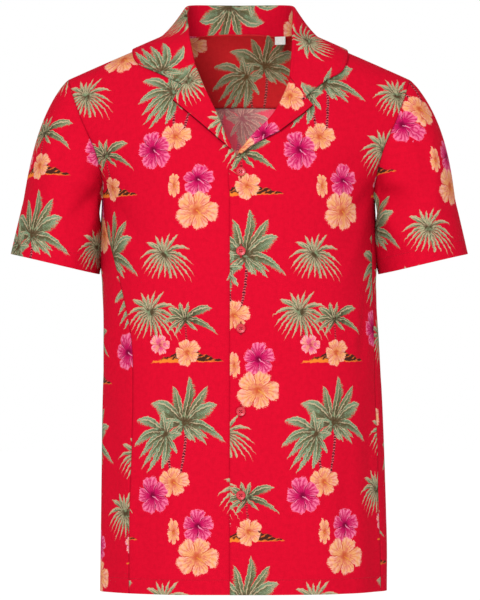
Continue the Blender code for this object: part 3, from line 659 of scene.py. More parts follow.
@dataclass(frozen=True)
class Anchor:
    """Where a panel's print is fixed: a place in front view, the print's place there, its tilt.

    It is fixed at the grid's nearest point, with slopes taken over a few points round it.
    """

    seen: tuple[float, float]
    motif: tuple[float, float]
    tilt: float = 0.0
    columns: int = 10000  # only so many of the panel's columns are looked through
    first: float = 0.0  # and only after this share of them
    reach: int = 4  # points on either side that the slopes are taken over

    def lay(self, flat: Array, points: Array, normals: Array) -> Array:
        """Turns and moves a flat panel so that its print falls in place.

        Args:
            flat: the panel's flat places.
            points: its points.
            normals: their normals.

        Returns:
            The print's place at each point.
        """
        away = (points[..., 0] - self.seen[0]) ** 2 + (points[..., 2] - self.seen[1]) ** 2
        away[:, self.columns :] = np.inf
        away[:, : int(self.first * away.shape[1])] = np.inf
        i, j = np.unravel_index(np.argmin(away), away.shape)
        step = self.reach if self.columns > points.shape[1] else 1
        i = int(np.clip(i, step, points.shape[0] - 1 - step))
        j = int(np.clip(j, step, points.shape[1] - 1 - step))
        solid, plane = (
            np.stack(
                [grid[i + step, j] - grid[i - step, j], grid[i, j + step] - grid[i, j - step]],
                axis=-1,
            )
            for grid in (points, flat)
        )
        normal = normals[i, j]
        up = np.array([0.0, 0.0, 1.0]) - normal * normal[2]
        share = np.linalg.lstsq(solid, up, rcond=None)[0]
        grain = plane @ share
        turn = math.pi / 2 + math.radians(self.tilt) - math.atan2(grain[1], grain[0])
        spin = np.array([[math.cos(turn), -math.sin(turn)], [math.sin(turn), math.cos(turn)]])
        missed = points[i, j]
        across = np.array([self.seen[0] - missed[0], 0.0, self.seen[1] - missed[2]])
        share = np.linalg.lstsq(solid, across - normal * (across @ normal), rcond=None)[0]
        origin = flat[i, j] + plane @ share
        return (flat - origin) @ spin.T + np.array(self.motif)


@dataclass
class Panel:
    """One cut piece of cloth: a grid of points on the face that is seen."""

    name: str
    points: Array
    normals: Array
    thickness: float
    sewn: tuple[Edge, ...] = ()
    hems: dict[Edge, float] = field(default_factory=dict)
    under: Array | None = None
    printed: Array | None = None
    two_faced: bool = False
    free_edge: Edge | None = None  # the edge of a collar or lapel, along which a painted shadow darkens the cloth
    painted_rim_shadow: float = 1.0  # how dark that painted shadow is
    # spans of the print's x whose cloth is laid from another part of the print, and how far off
    moves: Sequence[tuple[float, float, tuple[float, float]]] = ()
    groove: float = 0.6  # depth of the groove at a sewn edge
    tuck: float = 0.35  # share of the thickness by which an open edge is rounded

    def crowded(self) -> "Panel":
        """The same panel with more lines next to its sewn edges.

        Returns:
            The panel.
        """
        rows = crowd(self.points.shape[0], Edge.TOP in self.sewn, Edge.BOTTOM in self.sewn)
        columns = crowd(self.points.shape[1], Edge.FIRST in self.sewn, Edge.LAST in self.sewn)
        self.points = resample(self.points, rows, columns)
        self.normals = unit(resample(self.normals, rows, columns))
        self.printed = resample(self.printed, rows, columns)
        if self.under is not None:
            self.under = resample(self.under, rows, columns)
        return self

    def distance(self, edge: Edge) -> Array:
        """Length of cloth from an edge to each point, along the grid's lines.

        Args:
            edge: the edge.

        Returns:
            The length at each point.
        """
        away = np.empty(self.points.shape[:2])
        from_edge(away, edge)[:] = run_lengths(from_edge(self.points, edge))
        return away


class Tailor:
    """Makes a thin closed shell from a panel."""

    FAR = 1000.0  # the distance of a point from seams and hems that a panel hasn't got
    GROOVE_WIDTH = 1.3
    HEM_EXTRA, HEM_STEP, HEM_FADE = 0.9, 1.06, 0.12  # how a turned hem is thicker, and up to where
    SMOOTH_ANGLE = math.radians(62.0)

    def make(self, panel: Panel, materials: Sequence[bpy.types.Material]) -> bpy.types.Object:
        """Makes a panel's mesh, with its print's places and its distances from seams and hems.

        Args:
            panel: the panel.
            materials: the outer and the inner face's materials.

        Returns:
            The cloth object.
        """
        panel.crowded()
        far = np.full(panel.points.shape[:2], self.FAR)
        seam = np.minimum.reduce([far] + [panel.distance(edge) for edge in panel.sewn])
        shares = [panel.distance(edge) / width for edge, width in panel.hems.items()]
        hem = np.minimum.reduce([far] + shares)
        dip = panel.groove * np.exp(-((seam / self.GROOVE_WIDTH) ** 2))
        outer = panel.points - panel.normals * dip[..., None]
        if panel.under is None:
            turned = 1.0 + self.HEM_EXTRA * ease((self.HEM_STEP - hem) / self.HEM_FADE)
            inner = panel.points - panel.normals * (panel.thickness * turned)[..., None]
        else:
            inner = panel.under
        rows, columns = outer.shape[:2]
        number = np.arange(rows * columns).reshape(rows, columns)
        ring = around(number)
        rim, outer = self._rim(panel, outer, inner)
        vertices = np.concatenate([outer.reshape(-1, 3), inner.reshape(-1, 3), rim])
        a, b = number[:-1, :-1].ravel(), number[:-1, 1:].ravel()
        c, d = number[1:, 1:].ravel(), number[1:, :-1].ravel()
        below = rows * columns
        loop = np.arange(len(ring)) + 2 * below
        after, next_loop = np.roll(ring, -1), np.roll(loop, -1)
        faces = np.concatenate(
            [
                np.stack([a, b, c, d], axis=-1),
                np.stack([after, ring, loop, next_loop], axis=-1),
                np.stack([next_loop, loop, ring + below, after + below], axis=-1),
                np.stack([a, d, c, b], axis=-1) + below,
            ]
        )
        middle = (rows // 2, columns // 2)
        if np.dot(grid_normals(panel.points)[middle], panel.normals[middle]) < 0:
            faces = faces[:, ::-1]
        spread = [panel.printed.reshape(-1, 2)] * 2
        spread.append(panel.printed.reshape(-1, 2)[ring])
        if panel.free_edge is not None:  # a rim with a painted shadow is marked by distances below 0, the shadow's darkness standing in the hem's place
            seam = -1.0 - panel.distance(panel.free_edge)
            hem = np.full_like(seam, 1.0 + panel.painted_rim_shadow)
        marks = np.stack([hem, seam], axis=-1).reshape(-1, 2)
        made = self._mesh(panel.name, vertices * MM, faces)
        self._lay_map(made.data, "cloth", np.concatenate(spread) * MM, panel.moves)
        self._lay_map(made.data, "sewing", np.concatenate([marks, marks, marks[ring]]))
        for material in materials:
            made.data.materials.append(material)
        if not panel.two_faced:
            faced = np.zeros(len(faces), dtype=np.int32)
            faced[-len(a) :] = 1
            made.data.polygons.foreach_set("material_index", faced)
        return made

    @staticmethod
    def _rim(panel: Panel, outer: Array, inner: Array) -> tuple[Array, Array]:
        """Rounds the open edges.

        Args:
            panel: the panel.
            outer: its outer face.
            inner: its inner face.

        Returns:
            The ring of points at half thickness, and the outer face with its edge drawn in.
        """
        outer = outer.copy()
        middle = (outer + inner) / 2
        for edge in Edge:
            if edge not in panel.sewn:
                line = from_edge(outer, edge)
                line[0] += unit(line[1] - line[0]) * panel.thickness * panel.tuck
        return around(middle), outer

    @staticmethod
    def _mesh(name: str, vertices: Array, faces: Array) -> bpy.types.Object:
        """Makes a smooth mesh object from vertices and faces.

        Args:
            name: the object's name.
            vertices: its corners, in metres.
            faces: four corners for each face.

        Returns:
            The object.
        """
        mesh = bpy.data.meshes.new(name)
        mesh.from_pydata(vertices.tolist(), [], faces.tolist())
        mesh.shade_smooth()
        mesh.set_sharp_from_angle(angle=Tailor.SMOOTH_ANGLE)
        return stand(name, mesh)

    @staticmethod
    def _lay_map(
        mesh: bpy.types.Mesh,
        name: str,
        places: Array,
        moves: Sequence[tuple[float, float, tuple[float, float]]] = (),
    ) -> None:
        """Writes a flat place for each vertex into a named map of the mesh.

        Args:
            mesh: the mesh, all of four-sided faces.
            name: the map's name.
            places: a place for each vertex.
            moves: spans of x, in millimetres, whose faces are moved, and how far.
        """
        corners = np.zeros(len(mesh.loops), dtype=np.int32)
        mesh.loops.foreach_get("vertex_index", corners)
        laid = places[corners].reshape(-1, 4, 2)
        middle = laid[..., 0].mean(axis=1) / MM
        for low, high, move in moves:
            laid[(middle >= low) & (middle < high)] += np.array(move) * MM
        layer = mesh.uv_layers.new(name=name)
        layer.data.foreach_set("uv", laid.astype(np.float32).ravel())


# ---- body and sleeves


@dataclass
class Body:
    """Fronts, back, yoke with its facing, and sleeves, which share their seam lines."""

    form: BodyForm
    cloth: float = 0.9
    facing_depth: float = 2.8  # the facing's seen side below the yoke's outer face
    facing_inset: tuple[float, float] = (0.25, 0.3)  # from the yoke's edges, counted in lines
    front_columns: int = 44
    neck_columns: int = 18
    yoke_lines: int = 36
    yoke_neck_share: float = 0.42  # share of half the yoke seam that lies below the neck
    hem: float = 20.0
    underlap_drop: float = 2.6  # how far the under front lies inside the upper one
    underlap_fade: float = 60.0  # width over which it comes back out
    underlap_top: float = -90.0  # it starts at this height
    underlap_growth: float = 45.0  # over this length

    def __post_init__(self) -> None:
        """Lays out the lines, closer together above the armpit."""
        spans = ((0, CLOSE_ROW, 6), (CLOSE_ROW, ARMPIT_ROW, 14), (ARMPIT_ROW, HEM_ROW, 12))
        spaced = [first + np.arange((last - first) * many) / many for first, last, many in spans]
        self.rows = np.concatenate([*spaced, [HEM_ROW]])
        self.armpit = int(np.argmin(np.abs(self.rows - ARMPIT_ROW)))

    def front(self, side: Side) -> Array:
        """A front's grid, from its inner edge outwards.

        Args:
            side: the wearer's side.

        Returns:
            The grid.
        """
        shares = np.linspace(0.0, 1.0, self.front_columns + 1)
        form, grid = self.form, []
        for row in self.rows:
            start = float(form.angle_at(side, row, form.inner_x(side, row)))
            end = float(form.angle_at(side, row, form.read(side, "edge", row)))
            grid.append(form.even_row(side, row, (start, end), shares))
        return np.array(grid)

    def yoke(self, fronts: dict[Side, Array]) -> Array:
        """The yoke's grid, from the wearer's right to left and from the neck down.

        Args:
            fronts: both fronts' grids.

        Returns:
            The grid.
        """
        form, half = self.form, self.front_columns + 1
        stations = np.linspace(0.0, SHOULDER_STATION, self.neck_columns + 1)
        neck_row, neck_x = form.neck_station(stations)
        halves = {}
        for side in Side:
            top_row = np.concatenate([neck_row, np.zeros(half - 1)])
            top_x = np.concatenate([neck_x, np.abs(fronts[side][0][1:, 0])])
            top_share = top_x / form.read(side, "edge", -top_row)
            below_neck = np.linspace(0.0, self.yoke_neck_share, len(neck_x))
            below_shoulder = np.linspace(self.yoke_neck_share, 1.0, half)
            foot_share = np.concatenate([below_neck, below_shoulder[1:]])
            lines = []
            for down in np.linspace(0.0, 1.0, self.yoke_lines + 1):
                row = top_row + (YOKE_ROW - top_row) * down
                x = top_share + (foot_share - top_share) * down
                x = x * form.read(side, "edge", -row)
                angle = form.angle_at(side, -np.maximum(row, TINY), x)
                lines.append(form.point(side, row, angle))
            lines = np.array(lines)
            lines[0, len(neck_x) - 1 :] = fronts[side][0]
            halves[side] = lines
        return np.concatenate([halves[Side.RIGHT][:, ::-1], halves[Side.LEFT][:, 1:]], axis=1)

    def back(self, yoke: Array, fronts: dict[Side, Array]) -> Array:
        """The back's grid, from the yoke seam down and between the armholes and side seams.

        Args:
            yoke: the yoke's grid.
            fronts: both fronts' grids.

        Returns:
            The grid.
        """
        form, seam = self.form, yoke[-1]
        middle = seam.shape[0] // 2
        grid = [seam]
        above = {side: self._back_end(side, CLOSE_ROW) for side in Side}
        below = {side: self._back_end(side, ARMPIT_ROW) for side in Side}
        for number, row in enumerate(self.rows):
            if row <= YOKE_ROW:
                continue
            halves = {}
            for side in Side:
                part = seam[: middle + 1][::-1] if side is Side.RIGHT else seam[middle:]
                shares = run_lengths(part)
                if CLOSE_ROW < row < ARMPIT_ROW:
                    end = above[side] + (below[side] - above[side]) * (row - CLOSE_ROW)
                else:
                    end = self._back_end(side, row)
                line = form.even_row(side, row, (180.0, end), shares / shares[-1])
                if row >= ARMPIT_ROW:
                    line[-1] = fronts[side][number, -1]
                halves[side] = line
            grid.append(np.concatenate([halves[Side.RIGHT][::-1], halves[Side.LEFT][1:]]))
        return np.array(grid)

    def _back_end(self, side: Side, row: float) -> float:
        """The angle at which the back ends: at the armhole, or at the side seam below it."""
        signed = row if row >= ARMPIT_ROW else -row
        return float(self.form.angle_at(side, signed, self.form.read(side, "edge", signed)))

    def armhole(self, side: Side, front: Array, yoke: Array, back: Array) -> Array:
        """The armhole's loop: from the shoulder down in front, and up behind.

        Args:
            side: the wearer's side.
            front: the front's grid.
            yoke: the yoke's.
            back: the back's.

        Returns:
            The loop's points.
        """
        column = 0 if side is Side.RIGHT else -1
        above = int((self.rows[: self.armpit] > YOKE_ROW).sum())
        rise = back[1 : above + 1, column][::-1]
        return np.concatenate([front[: self.armpit + 1, -1], rise, yoke[1:, column][::-1]])

    def drop_underlap(self, grid: Array, normals: Array) -> Array:
        """Moves the under front inwards where the upper front lies over it.

        Args:
            grid: the under front's points.
            normals: their normals.

        Returns:
            The points, moved.
        """
        reach = ease((grid[..., 0] + self.underlap_fade) / self.underlap_fade)
        below = ease((self.underlap_top - grid[..., 2]) / self.underlap_growth)
        return grid - normals * (self.underlap_drop * reach * below)[..., None]

    def panels(self, sleeves: dict[Side, "Sleeve"]) -> list[Panel]:
        """Cuts every panel of the body and the sleeves, with shared normals at their seams.

        Args:
            sleeves: both sleeves.

        Returns:
            The panels.
        """
        fronts = {side: self.front(side) for side in Side}
        yoke = self.yoke(fronts)
        back = self.back(yoke, fronts)
        grids = {f"front_{side.word}": fronts[side] for side in Side}
        grids |= {"yoke": yoke, "back": back}
        for side, sleeve in sleeves.items():
            loop = self.armhole(side, fronts[side], yoke, back)
            grids[f"sleeve_{side.word}"] = sleeve.grid(loop, self.armpit)
        normals = {name: self._outward(name, grid) for name, grid in grids.items()}
        self._share(grids, normals)
        sides = (Edge.FIRST, Edge.LAST)
        sewn = {"yoke": (Edge.TOP, Edge.BOTTOM, *sides), "back": (Edge.TOP, *sides)}
        made = []
        for name, grid in grids.items():
            normal = normals[name]
            edges = sewn.get(name, (Edge.TOP, Edge.LAST))
            if name.startswith("sleeve"):
                edges = (Edge.TOP, *sides)
            if name == "front_right":
                grid = self.drop_underlap(grid, normal)
            hems = {} if name == "yoke" else {Edge.BOTTOM: self.hem}
            made.append(Panel(name, grid, normal, self.cloth, edges, hems))
        down, across = (
            np.linspace(0, 1, size) * (size - 1 - 2 * inset) + inset
            for size, inset in zip(yoke.shape, self.facing_inset)
        )
        inner = resample(yoke - normals["yoke"] * self.facing_depth, down, across)
        facing = -unit(resample(normals["yoke"], down, across))
        made.append(Panel("yoke_facing", inner, facing, self.cloth))
        return made

    @staticmethod
    def _outward(name: str, grid: Array) -> Array:
        """Normals that point out of the body, or out of the sleeve.

        Args:
            name: the panel's name.
            grid: its points.

        Returns:
            The normals.
        """
        normals = grid_normals(grid)
        if name.startswith("sleeve"):
            beside = (grid[:, 1] - grid[:, 0]) + (grid[:, -1] - grid[:, -2])
            down = np.gradient(grid[:, 0], axis=0)
            shared = unit(np.cross(beside, down))
            normals[:, 0] = normals[:, -1] = shared
            facing = (normals[4] * (grid[4] - grid[4].mean(axis=0))).sum()
        else:
            outward = grid.mean(axis=(0, 1)) * np.array([1.0, 1.0, 0.0])
            facing = (normals * outward).sum()
        return normals if facing > 0 else -normals

    @staticmethod
    def _share(grids: dict[str, Array], normals: dict[str, Array]) -> None:
        """Gives points that two panels share one normal, so that they meet square.

        Args:
            grids: the panels' points, by name.
            normals: their normals, which are changed.
        """
        sums: dict[tuple, Array] = {}
        edges = {}
        for name, grid in grids.items():
            edge = np.zeros(grid.shape[:2], dtype=bool)
            edge[[0, -1]] = edge[:, [0, -1]] = True
            edges[name] = np.argwhere(edge)
            for i, j in edges[name]:
                key = tuple(np.round(grid[i, j], 2))
                sums[key] = sums.get(key, 0.0) + normals[name][i, j]
        for name, grid in grids.items():
            for i, j in edges[name]:
                normals[name][i, j] = unit(sums[tuple(np.round(grid[i, j], 2))])


# Of each sleeve: turn and share of the length at both ends, depth and width.
SLEEVE_CREASES = {
    Side.RIGHT: (
        (0, 0.10, 0, 0.75, 7.0, 70), (360, 0.10, 360, 0.75, 7.0, 70),
        (180, 0.28, 180, 1.0, 8.6, 45), (150, 0.10, 76, 0.52, 5.4, 11),
        (158, 0.16, 104, 0.66, -4.8, 10), (160, 0.30, 118, 0.88, 4.4, 12),
        (60, 0.05, 64, 0.50, -2.4, 13), (40, 0.30, 84, 0.80, 2.0, 12),
        (250, 0.25, 215, 0.80, 3.4, 16), (205, 0.15, 268, 0.55, -3.0, 13),
        (300, 0.10, 292, 0.6, 2.4, 15),
    ),
    Side.LEFT: (
        (0, 0.10, 0, 0.75, 10.0, 75), (360, 0.10, 360, 0.75, 10.0, 75),
        (180, 0.28, 180, 1.0, 9.6, 45), (152, 0.12, 84, 0.48, 5.0, 10),
        (156, 0.20, 92, 0.60, -5.6, 11), (158, 0.34, 110, 0.82, 4.8, 13),
        (62, 0.06, 56, 0.46, -2.2, 14), (34, 0.36, 70, 0.86, 1.8, 13),
        (254, 0.25, 218, 0.80, 3.2, 16), (208, 0.12, 262, 0.58, -3.2, 12),
        (304, 0.12, 296, 0.5, 2.2, 16),
    ),
}


@dataclass
class Sleeve:
    """A short set-in sleeve; its values are those of the right one, with x outward."""

    side: Side
    creases: tuple[Crease, ...]
    rings: int = 44
    hem_centre: tuple[float, float, float] = (248.0, 3.0, -301.5)
    hem_outward: tuple[float, float, float] = (0.973, 0.0, 0.230)
    hem_width: float = 118.5
    hem_depth: float = 128.0
    scale: tuple[float, float] = (1.15, 190.0)  # millimetres for a degree, and for the length
    creased_from: float = 0.12  # share of the length over which the creases start
    # turn, then direction and reach where it leaves the armhole, then slope and reach at the hem
    ribs: Table = (
        (0, 0.62, 0.00, -0.78, 46, 0.26, 90),
        (45, 0.66, -0.30, -0.69, 48, 0.24, 80),
        (90, 0.60, -0.26, -0.76, 46, 0.19, 66),
        (135, 0.56, -0.10, -0.82, 34, 0.11, 44),
        (180, 0.62, 0.00, -0.78, 20, 0.00, 36),
        (225, 0.56, 0.10, -0.82, 34, 0.11, 44),
        (270, 0.60, 0.26, -0.76, 46, 0.19, 66),
        (315, 0.66, 0.30, -0.69, 48, 0.24, 80),
        (360, 0.62, 0.00, -0.78, 46, 0.26, 90),
    )

    def grid(self, loop: Array, foot: int) -> Array:
        """The sleeve's grid, cut open along the underarm seam.

        Args:
            loop: the armhole's points, from the shoulder down in front and up behind.
            foot: the loop's lowest point.

        Returns:
            Rings from the armhole to the hem, each from the armpit round to the armpit.
        """
        mirror = np.array([self.side.value, 1.0, 1.0])
        start = loop * mirror
        length = run_lengths(np.concatenate([start, start[:1]]))
        down = 180.0 * length[: foot + 1] / length[foot]
        up = 180.0 + 180.0 * (length[foot + 1 : -1] - length[foot]) / (length[-1] - length[foot])
        turn = np.concatenate([down, up])
        table = np.array(self.ribs)
        rib = smooth(table[:, 0], table[:, 1:], turn)
        angle = np.radians(turn)
        hem = np.array(self.hem_centre)
        hem = hem + (self.hem_width / 2 * np.cos(angle))[:, None] * np.array(self.hem_outward)
        hem = hem + (self.hem_depth / 2 * np.sin(angle))[:, None] * np.array([0.0, -1.0, 0.0])
        arrive = unit(np.stack([rib[:, 4], 0 * turn, -np.ones_like(turn)], axis=-1))
        first = start + unit(rib[:, :3]) * rib[:, 3:4]
        second = hem - arrive * rib[:, 5:6]
        grid = []
        for f in np.linspace(0.0, 1.0, self.rings + 1):
            line = (1 - f) ** 3 * start + 3 * f * (1 - f) ** 2 * first
            line = line + 3 * f * f * (1 - f) * second + f**3 * hem
            out = (line - line.mean(axis=0)) * np.array([1.0, 1.0, 0.0])
            place = np.stack([turn, np.full_like(turn, f)], axis=-1)
            push = sum(crease.push(place, self.scale) for crease in self.creases)
            push = push * ease(f / self.creased_from)
            grid.append((line + unit(out) * push[:, None]) * mirror)
        grid[0] = loop
        cut = np.roll(np.array(grid), -foot, axis=1)
        return np.concatenate([cut, cut[:, :1]], axis=1)


# ---- collar and lapels


@dataclass
class NeckEdge:
    """The inner edge of the body's panels, which the collar and the lapels turn out from.

    Stations run from 0 at the centre back over 4 at the side neck point to 8 at the gorge, and on
    down the roll line at the same pace.
    """

    form: BodyForm
    surface: BodySurface
    side: Side
    gorge_row: float
    gap: float = 0.4

    def __post_init__(self) -> None:
        """Takes the edge's points and normals."""
        behind = np.linspace(0.0, SHOULDER_STATION, 17)
        ahead = np.linspace(0.15, ARMPIT_ROW, 60)
        back_row, back_x = self.form.neck_station(behind)
        back_row = np.maximum(back_row, TINY)
        rows = np.concatenate([back_row, ahead])
        signed = np.concatenate([-back_row, ahead])
        x = np.concatenate([back_x, self.form.inner_x(self.side, ahead)])
        self.stations = np.concatenate([behind, self.station(ahead)])
        angle = self.form.angle_at(self.side, signed, x)
        self.points = self.form.point(self.side, rows, angle)
        self.normals = self.surface.above(self.points)[1]

    def station(self, row: Array) -> Array:
        """The station at which the edge passes a row of the front."""
        pace = GORGE_STATION - SHOULDER_STATION
        return SHOULDER_STATION + pace * row / self.gorge_row

    def read(self, at: float) -> tuple[Array, Array]:
        """The edge's point and normal at a station."""
        point = read_line(at, self.stations, self.points)
        return point, unit(read_line(at, self.stations, self.normals))


@dataclass
class Collar:
    """A one-piece collar: stand, roll and fall, from gorge to gorge."""

    surface: BodySurface
    edges: dict[Side, NeckEdge]
    cloth: float = 1.5
    body_cloth: float = 1.2
    facing_gap: float = 0.4
    roll_radius: float = 2.6
    sag: float = 0.13  # of the fall's length, by which it hangs in below a straight line
    rest: float = 3.4  # seen face above the cloth under it, at the edge
    fall_lift: float = 1.4  # how much higher the fall lies next to the roll
    lie_down: tuple[float, float] = (4.5, 8.0)  # stations over which the roll comes to lie flat
    gorge_gap: float = 0.5
    sections: int = 10  # for each station
    probe: float = 0.2  # stations on either side that the edge's direction is taken over
    neck_middle: tuple[float, float, float] = (0.0, -20.0, 30.0)
    stand_shares: Sequence[float] = (0.0, 0.16, 0.38, 0.6, 0.82)
    bends: Sequence[float] = (-10.0, 10.0, 30.0, 50.0, 70.0, 90.0, 110.0, 140.0)
    fall_lines: int = 16
    hem: float = 5.0
    # neck, roll x y z, edge x y z
    right: Table = (
        (0.0, 0.0, 66.0, 50.5, 0.0, 92.0, -14.0),
        (1.0, 37.0, 61.0, 50.5, 66.0, 84.0, -16.0),
        (2.0, 59.0, 45.0, 49.5, 112.0, 62.0, -19.0),
        (3.0, 67.5, 23.0, 46.5, 134.0, 33.0, -16.0),
        (4.0, 69.5, 0.0, 38.5, 142.0, 4.0, -12.0),
        (5.0, 68.5, -20.0, 24.0, 143.0, -22.0, -19.0),
        (6.0, 65.5, -37.0, 5.0, 135.0, -42.0, -35.0),
        (7.0, 61.5, -52.0, -17.0, 107.0, -62.0, -48.0),
        (8.0, 57.5, -65.0, -37.5, 75.5, -84.0, -62.0),
    )
    left: Table = (
        (0.0, 0.0, 66.0, 50.5, 0.0, 92.0, -14.0),
        (1.0, 38.0, 61.0, 50.5, 66.0, 84.0, -16.0),
        (2.0, 61.0, 45.0, 49.5, 112.0, 62.0, -19.0),
        (3.0, 70.5, 23.0, 46.5, 134.0, 33.0, -16.0),
        (4.0, 72.0, 0.0, 38.0, 143.0, 4.0, -14.0),
        (5.0, 71.0, -21.0, 22.0, 145.0, -22.0, -24.0),
        (6.0, 69.5, -40.0, -1.0, 137.0, -45.0, -46.0),
        (7.0, 68.0, -57.0, -29.0, 115.0, -66.0, -58.0),
        (8.0, 66.0, -73.0, -55.0, 87.5, -88.0, -80.0),
    )

    def _section(self, side: Side, at: float, base: Array, normal: Array, opening: Array) -> list:
        """One section of the seen face: stand, roll and fall.

        Args:
            side: the wearer's side.
            at: the station.
            base: the neck edge's point there.
            normal: its normal.
            opening: the way from the edge into the neck.

        Returns:
            The section's points.
        """
        table = np.array(self.right if side is Side.RIGHT else self.left)
        line = smooth(table[:, 0], table[:, 1:], at)
        mirror = np.array([side.value, 1.0, 1.0])
        roll, edge = line[:3] * mirror, line[3:] * mirror
        roll = self.surface.lift_clear(roll[None], 2 * self.roll_radius)[0]
        first, last = self.lie_down
        low = float(ease((at - first) / (last - first)))
        up = unit(np.array([0.0, 0.0, 1.0 - low]) + normal * low)
        outward = edge - roll
        outward = unit(outward - up * np.dot(outward, up))
        layers = self.body_cloth
        if at <= SHOULDER_STATION:
            layers = 2 * self.body_cloth + self.facing_gap
        seam = base + opening * self.edges[side].gap - normal * layers
        side_of_roll = roll - up * self.roll_radius
        section = [seam + (side_of_roll - seam) * share for share in self.stand_shares]
        for degrees in self.bends:
            bend = math.radians(degrees)
            across = outward * self.roll_radius * (1.0 - math.cos(bend))
            section.append(side_of_roll + across + up * self.roll_radius * math.sin(bend))
        start = section[-1]
        drape = np.linspace(0.0, 1.0, self.fall_lines + 1)[1:]
        fallen = start + (edge - start) * drape[:, None]
        sag = np.sin(math.pi * drape) * np.linalg.norm(edge - start) * self.sag * (1.0 - low)
        clear = self.rest + self.fall_lift * (1.0 - drape)
        fallen = self.surface.lift_clear(fallen - up * sag[:, None], clear)
        height, out = self.surface.above(fallen)
        settle = low * drape * (self.rest - height)
        section.extend(fallen + out * settle[:, None])
        return section

    def _half(self, side: Side) -> tuple[Array, Array]:
        """Half the seen face, and its seam edge on the hidden face.

        Args:
            side: the wearer's side.

        Returns:
            The sections' points, and the edge's.
        """
        neck, sections, seam = self.edges[side], [], []
        count = int(GORGE_STATION) * self.sections + 1
        for at in np.linspace(0.0, GORGE_STATION, count):
            base, normal = neck.read(at)
            ahead = neck.read(at + self.probe)[0]
            behind = neck.read(max(at - self.probe, 0.0))[0]
            opening = unit(np.cross(ahead - behind, normal))
            if np.dot(opening, np.array(self.neck_middle) - base) < 0:
                opening = -opening
            sections.append(self._section(side, float(at), base, normal, opening))
            seam.append(base + opening * neck.gap)
        sections, seam = np.array(sections), np.array(seam)
        sections[-1] += unit(sections[-2] - sections[-1]) * self.gorge_gap
        seam[-1] += unit(seam[-2] - seam[-1]) * self.gorge_gap
        return sections, seam

    def panel(self) -> Panel:
        """Cuts the collar, both of whose faces are printed.

        Returns:
            The panel.
        """
        right, right_seam = self._half(Side.RIGHT)
        left, left_seam = self._half(Side.LEFT)
        face = np.concatenate([right[::-1], left[1:]])
        inward = grid_normals(face)
        hidden = face + inward * self.cloth
        hidden[:, 0] = np.concatenate([right_seam[::-1], left_seam[1:]])
        made = Panel("collar", face, -inward, self.cloth, (), {Edge.LAST: self.hem}, hidden)
        made.two_faced, made.free_edge = True, Edge.LAST
        return made


# Of each side: the rows where the lapel ends at the gorge and breaks below, and its outline.
LAPELS = {
    Side.RIGHT: (4.5, 8.2, ((10.0, -152.5), (42.0, -124.5), (88.0, -85.5))),
    Side.LEFT: (
        5.1, 8.45, ((4.0, -157.5), (16.0, -147.5), (55.0, -126.5), (85.5, -103.5), (98.5, -92.0))
    ),
}


@dataclass
class Lapel:
    """A lapel: the front's facing turned out over the chest."""

    surface: BodySurface
    neck: NeckEdge
    break_row: float
    outline: Table  # x outward and z, from the break to the gorge
    cloth: float = 1.2
    roll_radius: float = 2.6
    tightest: float = 0.6  # share of the radius that is left where the lapel is narrow
    rest: float = 3.4
    gorge_gap: float = 0.5
    lines: int = 54
    columns: int = 20
    bends: Sequence[float] = (-30.0, -8.0, 15.0, 38.0, 60.0)
    hem: float = 5.0
    # how dark the painted shadow along the lapel's outer edge is
    painted_rim_shadow: float = 2.1

    def panel(self) -> Panel:
        """Cuts the lapel, from the roll line to its outer edge.

        Returns:
            The panel.
        """
        neck, side = self.neck, self.neck.side
        edge = np.array(self.outline)
        along = run_lengths(edge)
        along = along / along[-1]
        shares = np.linspace(0.0, 1.0, self.columns + 1)
        grid = []
        for f in np.linspace(0.0, 1.0, self.lines + 1):
            row = self.break_row + (neck.gorge_row - self.break_row) * f
            base = neck.read(neck.station(row))[0]
            edge_x = side.value * np.interp(f, along, edge[:, 0])
            edge_z = np.interp(f, along, edge[:, 1])
            laid, normal = self.surface.on_front(
                base[0] + (edge_x - base[0]) * shares, base[2] + (edge_z - base[2]) * shares
            )
            width = np.linalg.norm(laid[-1] - base)
            toward = unit(laid[-1] - base)
            slack = np.clip(width / (4 * self.roll_radius), self.tightest, 1.0)
            radius = self.roll_radius * slack
            section = [base - toward * neck.gap]
            for degrees in self.bends:
                bend = math.radians(degrees)
                reach = neck.gap + radius * math.cos(bend)
                rise = radius * (1.0 + math.sin(bend))
                section.append(base - toward * reach + normal[0] * rise)
            rest = 2 * radius + (min(self.rest, 2 * radius) - 2 * radius) * shares[1:]
            section.extend(laid[1:] + normal[1:] * rest[:, None])
            grid.append(section)
        grid = np.array(grid)
        grid[-1] += unit(grid[-2] - grid[-1]) * self.gorge_gap
        normals = grid_normals(grid) * side.value
        made = Panel(f"lapel_{side.word}", grid, normals, self.cloth, (), {Edge.LAST: self.hem})
        made.under = grid - normals * self.cloth
        made.two_faced, made.free_edge, made.painted_rim_shadow = True, Edge.LAST, self.painted_rim_shadow
        return made


# ---- sewing, buttons and tab


